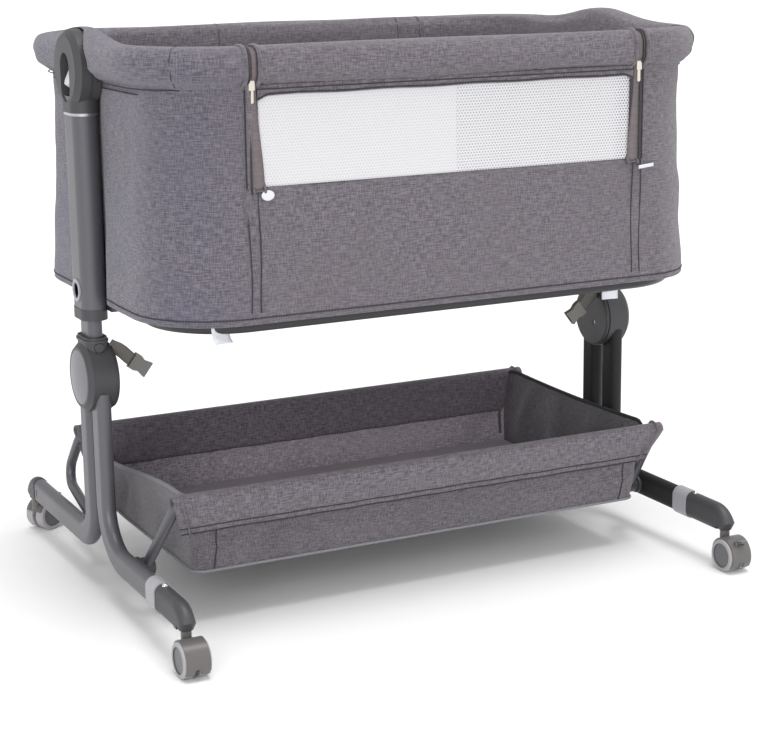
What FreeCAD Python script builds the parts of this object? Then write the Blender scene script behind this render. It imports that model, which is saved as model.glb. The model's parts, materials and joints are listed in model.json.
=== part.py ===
"""Bedside sleeper crib: a fabric bassinet that slides up and down on two posts, over a wheeled base.

Millimetres. X runs along the crib, -Y is the bed side with the drop-down mesh panel, Z is up.
The origin is on the floor, midway between the two posts.
"""
import FreeCAD, Part
import math
import os

# Overall layout
TUB_TOP_HALF_LENGTH = 424.0  # middle to the tub's end walls, under the rim
TUB_HALF_WIDTH = 293.0
TUB_BOTTOM = 456.5
RIM_BOTTOM = 765.0
POST_BESIDE_TUB = 19.0
POST_X = TUB_TOP_HALF_LENGTH + POST_BESIDE_TUB  # centre plane of posts, hubs and feet
HUB_Z = 337.0              # centre of the round middle hub
TOP_HUB_RISE = 18.0
TOP_HUB_Z = RIM_BOTTOM + TOP_HUB_RISE  # centre of the round top hub
FOOT_Z = 76.0              # centre line of the level part of a foot tube
STEM_Y = 348.0             # caster stem, in front of and behind the posts
SWIVEL_Z = 60.0            # underside of a foot end, where the caster turns
WALL = 1.5                 # steel tube wall
FIT = 0.3                  # running gap per side of what slides
SEAT = 0.1                 # gap per side of what is pushed in and stays
SOFT_GAP = 1.5             # gap between fabric and what moves past it

# Foot tubes, flat oval
FOOT_TALL = 40.0
FOOT_THIN = 22.0
FOOT_SPREAD = 29.0         # each foot tube's distance from the post's centre line
FRONT_BEND = 75.0
REAR_BEND = 50.0
FRONT_TUBE_END = 262.0
REAR_TUBE_END = 318.0
FOOT_TUBE_BELOW_HUB = 19.0
FOOT_TUBE_TOP = HUB_Z - FOOT_TUBE_BELOW_HUB
REAR_SLOT_LENGTH = 14.0
REAR_SLOT_WIDTH = 3.0

# Foot ends and collars
END_TALL = 42.0
END_THIN = 24.0
END_BEND = 24.0
END_NECK_RADIUS = 10.0
END_NECK_HEIGHT = 26.0
SPIGOT_LENGTH = 130.0
REAR_SPIGOT_LENGTH = 60.0
COLLAR_LENGTH = 34.0
COLLAR_WALL = 2.6
SNAP_PIN_RADIUS = 4.0
SNAP_PIN_RISE = 3.0
SNAP_PIN_SETBACK = 9.0

# Middle hub
HUB_RADIUS = 51.0
HUB_INNER_HALF = 18.0
HUB_OUTER_HALF = 16.0
HUB_INNER_X = POST_X - HUB_INNER_HALF
HUB_OUTER_X = POST_X + HUB_OUTER_HALF
HUB_BEVEL = 7.0
CAP_RADIUS = 40.0
CAP_SINK = 3.0
CAP_RISE = 5.0
COVER_RADIUS = 49.0
COVER_THICK = 6.0
NECK_WIDE = 62.0
NECK_THIN = 34.0
NECK_RISE = 61.0
NECK_TOP = HUB_Z + NECK_RISE
NECK_LIP = 2.0
NECK_LIP_TALL = 7.0
NECK_BUTTON_RADIUS = 7.0
NECK_BUTTON_DROP = 14.0
NECK_BUTTON_Z = NECK_TOP - NECK_BUTTON_DROP
NECK_BUTTON_RISE = 2.2
NECK_BUTTON_LENGTH = 4.6

# Telescopic posts, flat oval
INNER_WIDE = 50.0
INNER_THIN = 22.0
INNER_ABOVE_HUB = 13.0
INNER_BOTTOM = HUB_Z + INNER_ABOVE_HUB
INNER_BELOW_HUB = 93.0
INNER_TOP = TOP_HUB_Z - INNER_BELOW_HUB
LEVEL_HOLES = 7
LEVEL_PITCH = 25.0
LEVEL_HOLE_RADIUS = 4.0
LEVEL_FIRST = 90.0
OUTER_WIDE = 66.0
OUTER_THIN = 38.0
POST_BELOW_TUB = 16.5
OUTER_BOTTOM = TUB_BOTTOM - POST_BELOW_TUB
OUTER_BELOW_HUB = 38.0
OUTER_TOP = TOP_HUB_Z - OUTER_BELOW_HUB
BUSH_LIP = 16.0
BUSH_SPIGOT = 9.0
BUSH_WALL = 0.8
WINDOW_RISE = 26.0
WINDOW_Z = OUTER_BOTTOM + WINDOW_RISE
WINDOW_RADIUS = 11.5
BEZEL_RADIUS = 16.5
BEZEL_RISE = 2.0
RING_TALL = 4.0
RING_THICK = 1.0

# Top hub and lift lever
TOP_HUB_RADIUS = 55.0
TOP_HUB_DRUM = 52.0        # radius of the inner part, which the rim covers
TOP_HUB_GAP = 2.0
TOP_HUB_DRUM_THICK = 16.0
TOP_HUB_DISC_THICK = 14.0
TOP_HUB_INNER_X = TUB_TOP_HALF_LENGTH + TOP_HUB_GAP
TOP_HUB_STEP_X = TOP_HUB_INNER_X + TOP_HUB_DRUM_THICK
TOP_HUB_OUTER_X = TOP_HUB_STEP_X + TOP_HUB_DISC_THICK
TOP_HUB_BEVEL = 8.0
TOP_NECK_LENGTH = 61.0
TOP_NECK_BOTTOM = TOP_HUB_Z - TOP_NECK_LENGTH
TOP_NECK_WALL = 2.2
RECESS_WIDE = 40.0
RECESS_TALL = 69.0
RECESS_DEPTH = 17.0
RECESS_DROP = 12.0
LEVER_WIDE = 24.0
LEVER_TALL = 36.0
LEVER_DEEP = 15.0
LEVER_TIP = 4.0
LEVER_DROP = 26.0
LEVER_BOTTOM = TOP_HUB_Z - LEVER_DROP
LEVER_TRAVEL = 8.0
RIVET_RADIUS = 3.0
RIVET_RISE = 1.5
RIVET_DROP = 36.0
RIVET_Z = TOP_HUB_Z - RIVET_DROP
TONGUE_WIDE = 8.0
TONGUE_TALL = 14.0
TONGUE_DEEP = 15.0
ROD_RADIUS = 2.0
ROD_ABOVE_WINDOW = 34.0
ROD_BOTTOM = WINDOW_Z + ROD_ABOVE_WINDOW

# Bassinet fabric tub
TUB_FLARE = 14.0           # how much further out the end walls stand at the floor
TUB_HALF_LENGTH = TUB_TOP_HALF_LENGTH + TUB_FLARE
TUB_CORNER = 120.0
TUB_WALL = 7.0
TUB_FLOOR = 5.0
RIM_TALL = 58.0
RIM_THICK = 44.0
RIM_PEAK = 16.0            # how much higher the rim stands beside the hubs
RIM_PEAK_REACH = 170.0
RIM_LENGTH_OVERHANG = 31.0
HOOD_COVER = 5.0           # fabric over the inner part of the top hub
RIM_WIDTH_OVERHANG = 12.0
RIM_ROUND = 20.0
POST_RECESS_RADIUS = 95.0

# Frame tubes of the bassinet
FRAME_TUBE = 16.0
UPPER_FRAME_OUT = 12.0
UPPER_FRAME_RISE = 31.0
UPPER_FRAME_X = TUB_TOP_HALF_LENGTH + UPPER_FRAME_OUT
UPPER_FRAME_Z = RIM_BOTTOM + UPPER_FRAME_RISE
UPPER_FRAME_BEND = 105.0
LOWER_FRAME_IN = 12.0
LOWER_FRAME_SET_BACK = 10.0
LOWER_FRAME_DROP = 8.5
LOWER_FRAME_X = TUB_TOP_HALF_LENGTH - LOWER_FRAME_IN
LOWER_FRAME_Y = TUB_HALF_WIDTH - LOWER_FRAME_SET_BACK
LOWER_FRAME_Z = TUB_BOTTOM - LOWER_FRAME_DROP
LOWER_FRAME_BEND = 105.0
HUB_TUBE_DEPTH = 22.0
SOCKET_HALF_WIDE = 38.0
SOCKET_TALL = 24.0
SOCKET_DEPTH = 26.0

# Mattress
BOARD_THICK = 4.0
MATTRESS_TALL = 38.0
MATTRESS_CROWN = 6.0
MATTRESS_GAP = 5.0
MATTRESS_ROUND = 12.0

# Drop side: mesh panel, rail and hinge
PANEL_HALF = 296.0
PANEL_GAP = 2.0
PANEL_BOTTOM = 636.0
MESH_THICK = 3.0
STRIP_WIDE = 16.0
STRIP_THICK = 14.0
RAIL_TUBE = 10.0
RAIL_INSET = 8.0
RAIL_BEND = 30.0
RAIL_TOP_Z = UPPER_FRAME_Z
HINGE_OUT = 1.0
HINGE_DROP = 4.0
HINGE_Y = TUB_HALF_WIDTH + HINGE_OUT
HINGE_Z = PANEL_BOTTOM - HINGE_DROP
HINGE_PIN_RADIUS = 1.5
HINGE_EYE_RADIUS = 4.0
HINGE_PLATE = 3.0
STRUT_OFFSET = 12.0
SLEEVE_WALL = 3.0

# Zip sliders
SLIDER_WIDE = 9.0
SLIDER_TALL = 14.0
SLIDER_THICK = 5.0
SLIDER_RISE = 7.0
SLIDER_Z = RIM_BOTTOM + SLIDER_RISE
SLIDER_OFFSET = 6.0
PULL_WIDE = 5.0
PULL_LENGTH = 24.0
PULL_THICK = 1.6

# Storage basket
BASKET_TUBE = 16.0
BASKET_TUBE_Y = 217.0
BASKET_TUBE_Z = 194.0
BASKET_TUBE_BEND = 26.0
BASKET_INSIDE_POST = 43.0
BASKET_CORNER_X = POST_X - BASKET_INSIDE_POST
REAR_BULGE_Y = 280.0
REAR_BULGE_Z = 106.0
BASKET_WALL = 3.0
BASKET_TOP = BASKET_TUBE_Z + BASKET_TUBE / 2 + BASKET_WALL
BASKET_BOTTOM = 80.0
BASKET_SLEEVE_PAST_END = 12.0
BASKET_FLARE_X = 16.0
BASKET_FLARE_Y = 17.0
BASKET_TOP_X = BASKET_CORNER_X - BASKET_SLEEVE_PAST_END
BASKET_BOTTOM_X = BASKET_TOP_X - BASKET_FLARE_X
BASKET_BOTTOM_Y = BASKET_TUBE_Y - BASKET_FLARE_Y
BASKET_BAND_TALL = 28.0
BASKET_END_SAG = 14.0
BASKET_BOARD_THICK = 3.0
BASKET_BOARD_GAP = 8.0
BASKET_BOARD_ROUND = 16.0
BRACKET_Y = 122.0
BRACKET_Z = 76.0
BRACKET_LONG = 34.0
BRACKET_TALL = 28.0
BRACKET_THICK = 5.0
BRACKET_BOSS_RADIUS = 13.0
BRACKET_BOSS_THICK = 20.0
SCREW_RADIUS = 3.5
SCREW_HEAD = 1.6

# Bed straps with their buckles
STRAP_WIDE = 20.0
STRAP_THICK = 2.0
STRAP_RUN = 34.0
STRAP_DROP = 26.0
STRAP_TOP = 394.0
BUCKLE_LONG = 30.0
BUCKLE_WIDE = 25.0
BUCKLE_WAIST = 19.0
BUCKLE_THICK = 9.0
BUCKLE_MOUTH = 4.4

# Casters
WHEEL_RADIUS = 25.0
WHEEL_INNER = 4.0
WHEEL_OUTER = 20.0
WHEEL_EDGE = 2.5
WHEEL_HUB_RECESS = 18.0
WHEEL_RECESS_DEPTH = 1.2
AXLE_RADIUS = 2.5
AXLE_FIT = 0.1
TRAIL = 18.0
HOOD_RADIUS = 27.4
HOOD_HALF = 17.0
HOOD_SHELL = 1.7
HOOD_WEB = 3.4
HOOD_FRONT_Z = 9.0
HOOD_BACK_Z = 34.0
HOOD_NOTCH = 5.0
HOOD_NOTCH_TALL = 9.0
STEM_RADIUS = 4.0
STEM_LENGTH = 24.0
STEM_COLLAR_RADIUS = 7.0
STEM_COLLAR = 1.5
BOSS_RADIUS = 7.5
REAR_LEFT_SWIVEL = 115.0
BRAKE_REACH = 13.0
BRAKE_RISE = 2.5
BRAKE_PIVOT_OUT = 19.0
BRAKE_PIVOT_UP = 23.5
BRAKE_WIDE = 12.0
BRAKE_THICK = 3.0
BRAKE_BARREL = 2.5
BRAKE_PIN = 1.4
BRAKE_EAR = 2.4

SIDES = {"left": -1, "right": 1}
X_AXIS = FreeCAD.Vector(1, 0, 0)
Y_AXIS = FreeCAD.Vector(0, 1, 0)
Z_AXIS = FreeCAD.Vector(0, 0, 1)


def vec(x, y, z):
    return FreeCAD.Vector(x, y, z)


def save(name, *solids):
    """Write one node: one solid, or a group of separate solids."""
    shape = solids[0] if len(solids) == 1 else Part.makeCompound(list(solids))
    shape.exportStep(os.path.join("parts", name + ".step"))


def mirrored(shape, side):
    """Shapes are made on the +X side; the left ones are their mirror images."""
    return shape if side > 0 else shape.mirror(vec(0, 0, 0), X_AXIS)


def save_side(name, side_name, *solids):
    side = SIDES[side_name]
    save(name.format(side_name), *[mirrored(solid, side) for solid in solids])


def box(x0, x1, y0, y1, z0, z1):
    return Part.makeBox(x1 - x0, y1 - y0, z1 - z0, vec(x0, y0, z0))


def rod(radius, start, end):
    return Part.makeCylinder(radius, (end - start).Length, start, end - start)


def joined(*pieces):
    return pieces[0].fuse(list(pieces[1:])).removeSplitter()


def oval_wire(wide, thin):
    """A flat-oval outline in the XY plane, its long axis along X."""
    radius = thin / 2
    flat = (wide - thin) / 2
    edges = [
        Part.LineSegment(vec(-flat, radius, 0), vec(flat, radius, 0)),
        Part.Arc(vec(flat, radius, 0), vec(flat + radius, 0, 0), vec(flat, -radius, 0)),
        Part.LineSegment(vec(flat, -radius, 0), vec(-flat, -radius, 0)),
        Part.Arc(vec(-flat, -radius, 0), vec(-flat - radius, 0, 0), vec(-flat, radius, 0)),
    ]
    return Part.Wire([edge.toShape() for edge in edges])


def circle_wire(diameter):
    return Part.Wire(Part.makeCircle(diameter / 2))


def hollow(outer, inner):
    return Part.makeFace([outer, inner], "Part::FaceMakerBullseye")


def oval_tube_face(wide, thin, wall=WALL):
    return hollow(oval_wire(wide, thin), oval_wire(wide - 2 * wall, thin - 2 * wall))


def round_tube_face(diameter, wall=WALL):
    return hollow(circle_wire(diameter), circle_wire(diameter - 2 * wall))


def placed(face, at, long_axis, normal):
    """Stand a flat XY shape at a point, its X along long_axis and its Z along normal."""
    turn = FreeCAD.Rotation(long_axis, normal.cross(long_axis), normal, "ZXY")
    shape = face.copy()
    shape.Placement = FreeCAD.Placement(at, turn)
    return shape


def bent_bar(face, points, radius, long_axis):
    """Sweep a face along straight runs joined by arcs, as a tube bender makes them."""
    runs = [(end - start).normalize() for start, end in zip(points, points[1:])]
    face = placed(face, points[0], long_axis, runs[0])
    here = points[0]
    pieces = []
    for corner, before, after in zip(points[1:], runs, runs[1:]):
        turn = before.getAngle(after)
        setback = radius * math.tan(turn / 2)
        step = corner - before * setback - here
        pieces.append(face.extrude(step))
        face.translate(step)
        axis = before.cross(after).normalize()
        centre = here + step + axis.cross(before) * radius
        pieces.append(face.revolve(centre, axis, math.degrees(turn)))
        face.rotate(centre, axis, math.degrees(turn))
        here = corner + after * setback
    pieces.append(face.extrude(points[-1] - here))
    return joined(*pieces)


def oval_post(wide, thin, bottom, top, x=POST_X, y=0.0):
    """A solid upright flat-oval bar, wide along Y."""
    face = placed(Part.Face(oval_wire(wide, thin)), vec(x, y, bottom), Y_AXIS, Z_AXIS)
    return face.extrude(vec(0, 0, top - bottom))


def revolved_about_x(points, y, z):
    """Turn an outline of (x, radius) points about the X direction through (y, z)."""
    outline = [vec(x, y, z + radius) for x, radius in points]
    face = Part.Face(Part.makePolygon(outline + outline[:1]))
    return face.revolve(vec(0, y, z), X_AXIS, 360)


# ---------------------------------------------------------------- base: feet

def foot_points(spread, end, bend_sign):
    """Centre line of a foot tube: down from the hub, then level to its end."""
    return [
        vec(POST_X, bend_sign * spread, FOOT_TUBE_TOP),
        vec(POST_X, bend_sign * spread, FOOT_Z),
        vec(POST_X, bend_sign * end, FOOT_Z),
    ]


def front_foot_tube():
    points = foot_points(FOOT_SPREAD, FRONT_TUBE_END, -1)
    return bent_bar(oval_tube_face(FOOT_TALL, FOOT_THIN), points, FRONT_BEND, Y_AXIS)


def rear_foot_tube():
    points = foot_points(FOOT_SPREAD, REAR_TUBE_END, 1)
    tube = bent_bar(oval_tube_face(FOOT_TALL, FOOT_THIN), points, REAR_BEND, Y_AXIS)
    slot = placed(
        Part.Face(oval_wire(REAR_SLOT_LENGTH, REAR_SLOT_WIDTH)),
        vec(POST_X, REAR_TUBE_END - REAR_SLOT_LENGTH, FOOT_Z),
        Z_AXIS,
        X_AXIS,
    )
    return tube.cut(slot.extrude(X_AXIS * FOOT_THIN))


def foot_end(tube_end, spigot_length):
    """Elbow that closes a foot tube and turns down to the caster, made for the front (-Y)."""
    bend_start = vec(POST_X, -(STEM_Y - END_BEND), FOOT_Z)
    face = placed(
        Part.Face(oval_wire(END_TALL, END_THIN)), vec(POST_X, -tube_end, FOOT_Z), Z_AXIS, -Y_AXIS
    )
    run = bend_start - vec(POST_X, -tube_end, FOOT_Z)
    straight = face.extrude(run)
    face.translate(run)
    turn = face.revolve(bend_start - Z_AXIS * END_BEND, X_AXIS, 90)
    neck_top = SWIVEL_Z + END_NECK_HEIGHT
    neck = Part.makeCone(
        END_NECK_RADIUS, END_TALL / 2 + 1, END_NECK_HEIGHT, vec(POST_X, -STEM_Y, SWIVEL_Z)
    )
    above = box(
        POST_X - END_THIN, POST_X + END_THIN, -STEM_Y - END_TALL, -tube_end, neck_top, FOOT_Z + END_TALL
    )
    behind = box(
        POST_X - END_THIN, POST_X + END_THIN,
        -STEM_Y + END_NECK_RADIUS / 2, -tube_end,
        SWIVEL_Z, FOOT_Z + END_TALL,
    )
    level = box(
        POST_X - END_THIN, POST_X + END_THIN,
        -STEM_Y + END_BEND, -tube_end, FOOT_Z - END_TALL, FOOT_Z + END_TALL,
    )
    elbow = joined(straight, turn).common(joined(neck, above, behind, level))
    pad = Part.makeCylinder(END_NECK_RADIUS, FOOT_Z - SWIVEL_Z, vec(POST_X, -STEM_Y, SWIVEL_Z))
    spigot = bent_bar(
        Part.Face(oval_wire(FOOT_TALL - 2 * WALL - 2 * FIT, FOOT_THIN - 2 * WALL - 2 * FIT)),
        [vec(POST_X, -tube_end, FOOT_Z), vec(POST_X, -tube_end + spigot_length, FOOT_Z)],
        FRONT_BEND,
        Z_AXIS,
    )
    socket = rod(
        STEM_RADIUS + AXLE_FIT,
        vec(POST_X, -STEM_Y, SWIVEL_Z - 1),
        vec(POST_X, -STEM_Y, SWIVEL_Z + STEM_LENGTH + 1),
    )
    return joined(elbow, pad, spigot).cut(socket)


def snap_pin_place():
    return vec(POST_X, -(FRONT_TUBE_END + SNAP_PIN_SETBACK), FOOT_Z + END_TALL / 2)


def front_foot_end():
    pocket = rod(
        SNAP_PIN_RADIUS + FIT,
        snap_pin_place() - Z_AXIS * (3 * SNAP_PIN_RISE),
        snap_pin_place() + Z_AXIS * SNAP_PIN_RISE,
    )
    return foot_end(FRONT_TUBE_END, SPIGOT_LENGTH).cut(pocket)


def snap_pin():
    """Sprung pin with a domed head that stands out of the foot end."""
    place = snap_pin_place()
    shank = rod(SNAP_PIN_RADIUS, place - Z_AXIS * SNAP_PIN_RISE, place)
    dome = Part.makeSphere(SNAP_PIN_RADIUS, place, Z_AXIS, 0, 90, 360)
    return joined(shank, dome)


def foot_collar():
    outer = oval_wire(FOOT_TALL + 2 * COLLAR_WALL, FOOT_THIN + 2 * COLLAR_WALL)
    inner = oval_wire(FOOT_TALL + 2 * SEAT, FOOT_THIN + 2 * SEAT)
    at = vec(POST_X, -(FRONT_TUBE_END - COLLAR_LENGTH), FOOT_Z)
    return placed(hollow(outer, inner), at, Z_AXIS, -Y_AXIS).extrude(-Y_AXIS * COLLAR_LENGTH)


def rear_foot_end():
    return foot_end(REAR_TUBE_END, REAR_SPIGOT_LENGTH).mirror(vec(0, 0, 0), Y_AXIS)


# ---------------------------------------------------------------- base: hubs and inner posts

def hub_housing():
    """Round shell that holds both foot tubes and the inner post."""
    drum = revolved_about_x(
        [
            (HUB_INNER_X, 0), (HUB_INNER_X, HUB_RADIUS), (HUB_OUTER_X, HUB_RADIUS),
            (HUB_OUTER_X + HUB_BEVEL, HUB_RADIUS - HUB_BEVEL), (HUB_OUTER_X + HUB_BEVEL, 0),
        ],
        0, HUB_Z,
    )
    neck = oval_post(NECK_WIDE, NECK_THIN, HUB_Z, NECK_TOP)
    lip = oval_post(
        NECK_WIDE + 2 * NECK_LIP, NECK_THIN + 2 * NECK_LIP,
        NECK_TOP - NECK_LIP_TALL, NECK_TOP - NECK_LIP_TALL / 2,
    )
    body = joined(drum, neck, lip)
    for sign in (-1, 1):
        socket = oval_post(
            FOOT_TALL + 2 * SEAT, FOOT_THIN + 2 * SEAT,
            HUB_Z - 2 * HUB_RADIUS, FOOT_TUBE_TOP + SEAT, y=sign * FOOT_SPREAD,
        )
        body = body.cut(socket)
    post_socket = oval_post(
        INNER_WIDE + 2 * SEAT, INNER_THIN + 2 * SEAT, INNER_BOTTOM - SEAT, NECK_TOP + 1
    )
    cap_seat = rod(
        CAP_RADIUS + SEAT,
        vec(HUB_OUTER_X + HUB_BEVEL - CAP_SINK, 0, HUB_Z),
        vec(HUB_OUTER_X + HUB_BEVEL + 1, 0, HUB_Z),
    )
    body = body.cut(post_socket).cut(cap_seat)
    for sign in (-1, 1):
        body = body.cut(rod(NECK_BUTTON_RADIUS + FIT, button_point(sign, -99), button_point(sign, 99)))
    return body


def button_point(sign, depth):
    """A point on a neck button's axis: depth 0 is the post's face, positive is outward."""
    reach = max(depth, 0) + INNER_WIDE / 2 + (SEAT if depth <= 0 else 0)
    return vec(POST_X, sign * reach, NECK_BUTTON_Z)


def neck_button(sign):
    outer = NECK_WIDE / 2 + NECK_BUTTON_RISE
    button = rod(
        NECK_BUTTON_RADIUS,
        vec(POST_X, sign * (outer - NECK_BUTTON_LENGTH), NECK_BUTTON_Z),
        vec(POST_X, sign * outer, NECK_BUTTON_Z),
    )
    rim = [edge for edge in button.Edges if abs(edge.CenterOfMass.y) > outer - 0.5]
    return button.makeFillet(NECK_BUTTON_RISE / 2, rim)


def hub_cap():
    """Light disc pressed into the outer face of the hub, slightly domed."""
    inner_x = HUB_OUTER_X + HUB_BEVEL - CAP_SINK
    outer_x = HUB_OUTER_X + HUB_BEVEL + CAP_RISE
    disc = rod(CAP_RADIUS, vec(inner_x, 0, HUB_Z), vec(outer_x, 0, HUB_Z))
    dome_radius = (CAP_RADIUS ** 2 + CAP_RISE ** 2) / (2 * CAP_RISE)
    dome = Part.makeSphere(dome_radius, vec(outer_x - dome_radius, 0, HUB_Z))
    return disc.common(dome)


def cover_screw_place():
    return vec(HUB_INNER_X - COVER_THICK, -COVER_RADIUS / 5, HUB_Z - COVER_RADIUS / 5)


def hub_inner_cover():
    disc = rod(COVER_RADIUS, vec(HUB_INNER_X - COVER_THICK, 0, HUB_Z), vec(HUB_INNER_X, 0, HUB_Z))
    rim = [edge for edge in disc.Edges if edge.CenterOfMass.x < HUB_INNER_X - COVER_THICK / 2
           and edge.Closed and edge.Length > COVER_RADIUS]
    disc = disc.makeFillet(COVER_THICK / 2, rim)
    place = cover_screw_place()
    disc = disc.cut(rod(SCREW_RADIUS + SEAT, place - X_AXIS, place + X_AXIS * COVER_THICK / 2))
    return disc.cut(bed_strap(FIT))


def cover_screw():
    place = cover_screw_place()
    return rod(
        SCREW_RADIUS,
        place + X_AXIS * (COVER_THICK / 2 - SCREW_HEAD),
        place + X_AXIS * COVER_THICK / 2,
    )


def inner_post():
    face = placed(
        oval_tube_face(INNER_WIDE, INNER_THIN), vec(POST_X, 0, INNER_BOTTOM), Y_AXIS, Z_AXIS
    )
    tube = face.extrude(vec(0, 0, INNER_TOP - INNER_BOTTOM))
    for level in range(LEVEL_HOLES):
        z = INNER_BOTTOM + LEVEL_FIRST + level * LEVEL_PITCH
        tube = tube.cut(rod(LEVEL_HOLE_RADIUS, vec(POST_X - INNER_THIN, 0, z), vec(POST_X, 0, z)))
    return tube


# ---------------------------------------------------------------- base: basket

def basket_tube_points(sign, x_sign):
    """Centre line of half a basket tube, from its bracket to the corner of the basket."""
    points = [vec(x_sign * bracket_inner_x(), sign * BRACKET_Y, BRACKET_Z)]
    if sign > 0:
        middle_x = (bracket_inner_x() + BASKET_CORNER_X) / 2
        points.append(vec(x_sign * middle_x, REAR_BULGE_Y, REAR_BULGE_Z))
    return points + [vec(x_sign * BASKET_CORNER_X, sign * BASKET_TUBE_Y, BASKET_TUBE_Z)]


def basket_tube(sign, face=None):
    """Tube from bracket to bracket, up and along the basket's long top edge."""
    points = basket_tube_points(sign, -1) + basket_tube_points(sign, 1)[::-1]
    first = (points[1] - points[0]).normalize()
    across = first.cross(X_AXIS).normalize()
    return bent_bar(face or round_tube_face(BASKET_TUBE), points, BASKET_TUBE_BEND, across)


def bracket_inner_x():
    return POST_X - FOOT_THIN / 2 - BRACKET_THICK - BRACKET_BOSS_THICK / 2


def basket_bracket(sign):
    """Plate on the inner face of a foot tube with the boss that takes the basket tube."""
    plate_x = POST_X - FOOT_THIN / 2 - SEAT
    plate = placed(
        Part.Face(oval_wire(BRACKET_LONG, BRACKET_TALL)),
        vec(plate_x, sign * BRACKET_Y, BRACKET_Z), Y_AXIS, -X_AXIS,
    ).extrude(-X_AXIS * BRACKET_THICK)
    boss = rod(
        BRACKET_BOSS_RADIUS,
        vec(plate_x, sign * BRACKET_Y, BRACKET_Z),
        vec(plate_x - BRACKET_THICK - BRACKET_BOSS_THICK, sign * BRACKET_Y, BRACKET_Z),
    )
    tube = basket_tube(sign, Part.Face(circle_wire(BASKET_TUBE + 2 * SEAT)))
    return joined(plate, boss).cut(tube)


def bracket_screw(sign):
    x = POST_X - FOOT_THIN / 2 - SEAT - BRACKET_THICK - BRACKET_BOSS_THICK
    return rod(
        SCREW_RADIUS,
        vec(x, sign * BRACKET_Y, BRACKET_Z),
        vec(x - SCREW_HEAD, sign * BRACKET_Y, BRACKET_Z),
    )


def rectangle_wire(half_x, half_y, z):
    corners = [(-1, -1), (1, -1), (1, 1), (-1, 1), (-1, -1)]
    return Part.makePolygon([vec(sx * half_x, sy * half_y, z) for sx, sy in corners])


def basket_outer_y():
    """Half width of the basket over the sleeves round its tubes."""
    return BASKET_TUBE_Y + BASKET_TUBE / 2 + FIT + BASKET_WALL


def basket_block(inset, top_y):
    """Tapered trough between the bottom and the top edge, drawn in by inset all round."""
    bottom = rectangle_wire(BASKET_BOTTOM_X - inset, BASKET_BOTTOM_Y - inset, BASKET_BOTTOM + inset)
    top = rectangle_wire(BASKET_TOP_X - inset, top_y - inset, BASKET_TOP)
    return Part.makeLoft([bottom, top], True, True)


def storage_basket():
    """Fabric trough whose long top edges are sleeves round the two basket tubes."""
    cavity = basket_block(BASKET_WALL, basket_inner_y())
    trough = basket_block(0, basket_outer_y()).cut(cavity)
    for sign in (-1, 1):
        trough = trough.fuse(basket_band(sign))
    sag = (basket_inner_y() ** 2 + BASKET_END_SAG ** 2) / (2 * BASKET_END_SAG)
    lowered = rod(
        sag,
        vec(-BASKET_TOP_X - 1, 0, BASKET_TOP - BASKET_END_SAG + sag),
        vec(BASKET_TOP_X + 1, 0, BASKET_TOP - BASKET_END_SAG + sag),
    )
    trough = trough.removeSplitter().cut(lowered)
    for sign in (-1, 1):
        trough = trough.cut(basket_tube(sign, Part.Face(circle_wire(BASKET_TUBE + 2 * FIT))))
    return trough


def basket_inner_y():
    return BASKET_TUBE_Y - BASKET_TUBE / 2 - FIT - BASKET_WALL


def basket_band(sign):
    """Sleeve along a long edge, which reaches past the end panel and round the tube's corner."""
    end_x = BASKET_CORNER_X + BASKET_TUBE / 2 + FIT + BASKET_WALL
    inner, outer = sorted((sign * basket_inner_y(), sign * basket_outer_y()))
    band = box(-end_x, end_x, inner, outer, BASKET_TOP - BASKET_BAND_TALL, BASKET_TOP)
    upright = [edge for edge in band.Edges
               if abs(edge.tangentAt(edge.FirstParameter).z) > 0.9
               and abs(edge.CenterOfMass.y) > basket_outer_y() - 1]
    return band.makeFillet(BASKET_TUBE / 2, upright)


def basket_board():
    bottom = BASKET_BOTTOM + BASKET_WALL + FIT
    half_x = BASKET_BOTTOM_X - BASKET_WALL - BASKET_BOARD_GAP
    half_y = BASKET_BOTTOM_Y - BASKET_WALL - BASKET_BOARD_GAP
    board = box(-half_x, half_x, -half_y, half_y, bottom, bottom + BASKET_BOARD_THICK)
    upright = [edge for edge in board.Edges if abs(edge.tangentAt(edge.FirstParameter).z) > 0.9]
    return board.makeFillet(BASKET_BOARD_ROUND, upright)


# ---------------------------------------------------------------- base: bed straps

def strap_corners():
    """Where the webbing leaves the hub, behind the cover, and where it enters the buckle."""
    start_x = POST_X - NECK_THIN / 2 - NECK_LIP - FIT
    start = vec(start_x, -NECK_WIDE / 4, STRAP_TOP - STRAP_WIDE / 2)
    return start, start + vec(-STRAP_RUN, 0, -STRAP_DROP)


def bed_strap(gap=0.0):
    """Webbing that comes out of the hub through a slot in the inner cover."""
    start, end = strap_corners()
    run = (end - start).normalize()
    upright = Z_AXIS * (STRAP_WIDE / 2 + gap)
    across = vec(-run.z, 0, run.x) * (STRAP_WIDE / 2 + gap)
    if across.z < 0:
        across = -across
    outline = [start + upright, start - upright, end - across, end + across, start + upright]
    face = Part.Face(Part.makePolygon(outline))
    face.translate(Y_AXIS * gap)
    return face.extrude(-Y_AXIS * (STRAP_THICK + 2 * gap))


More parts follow.
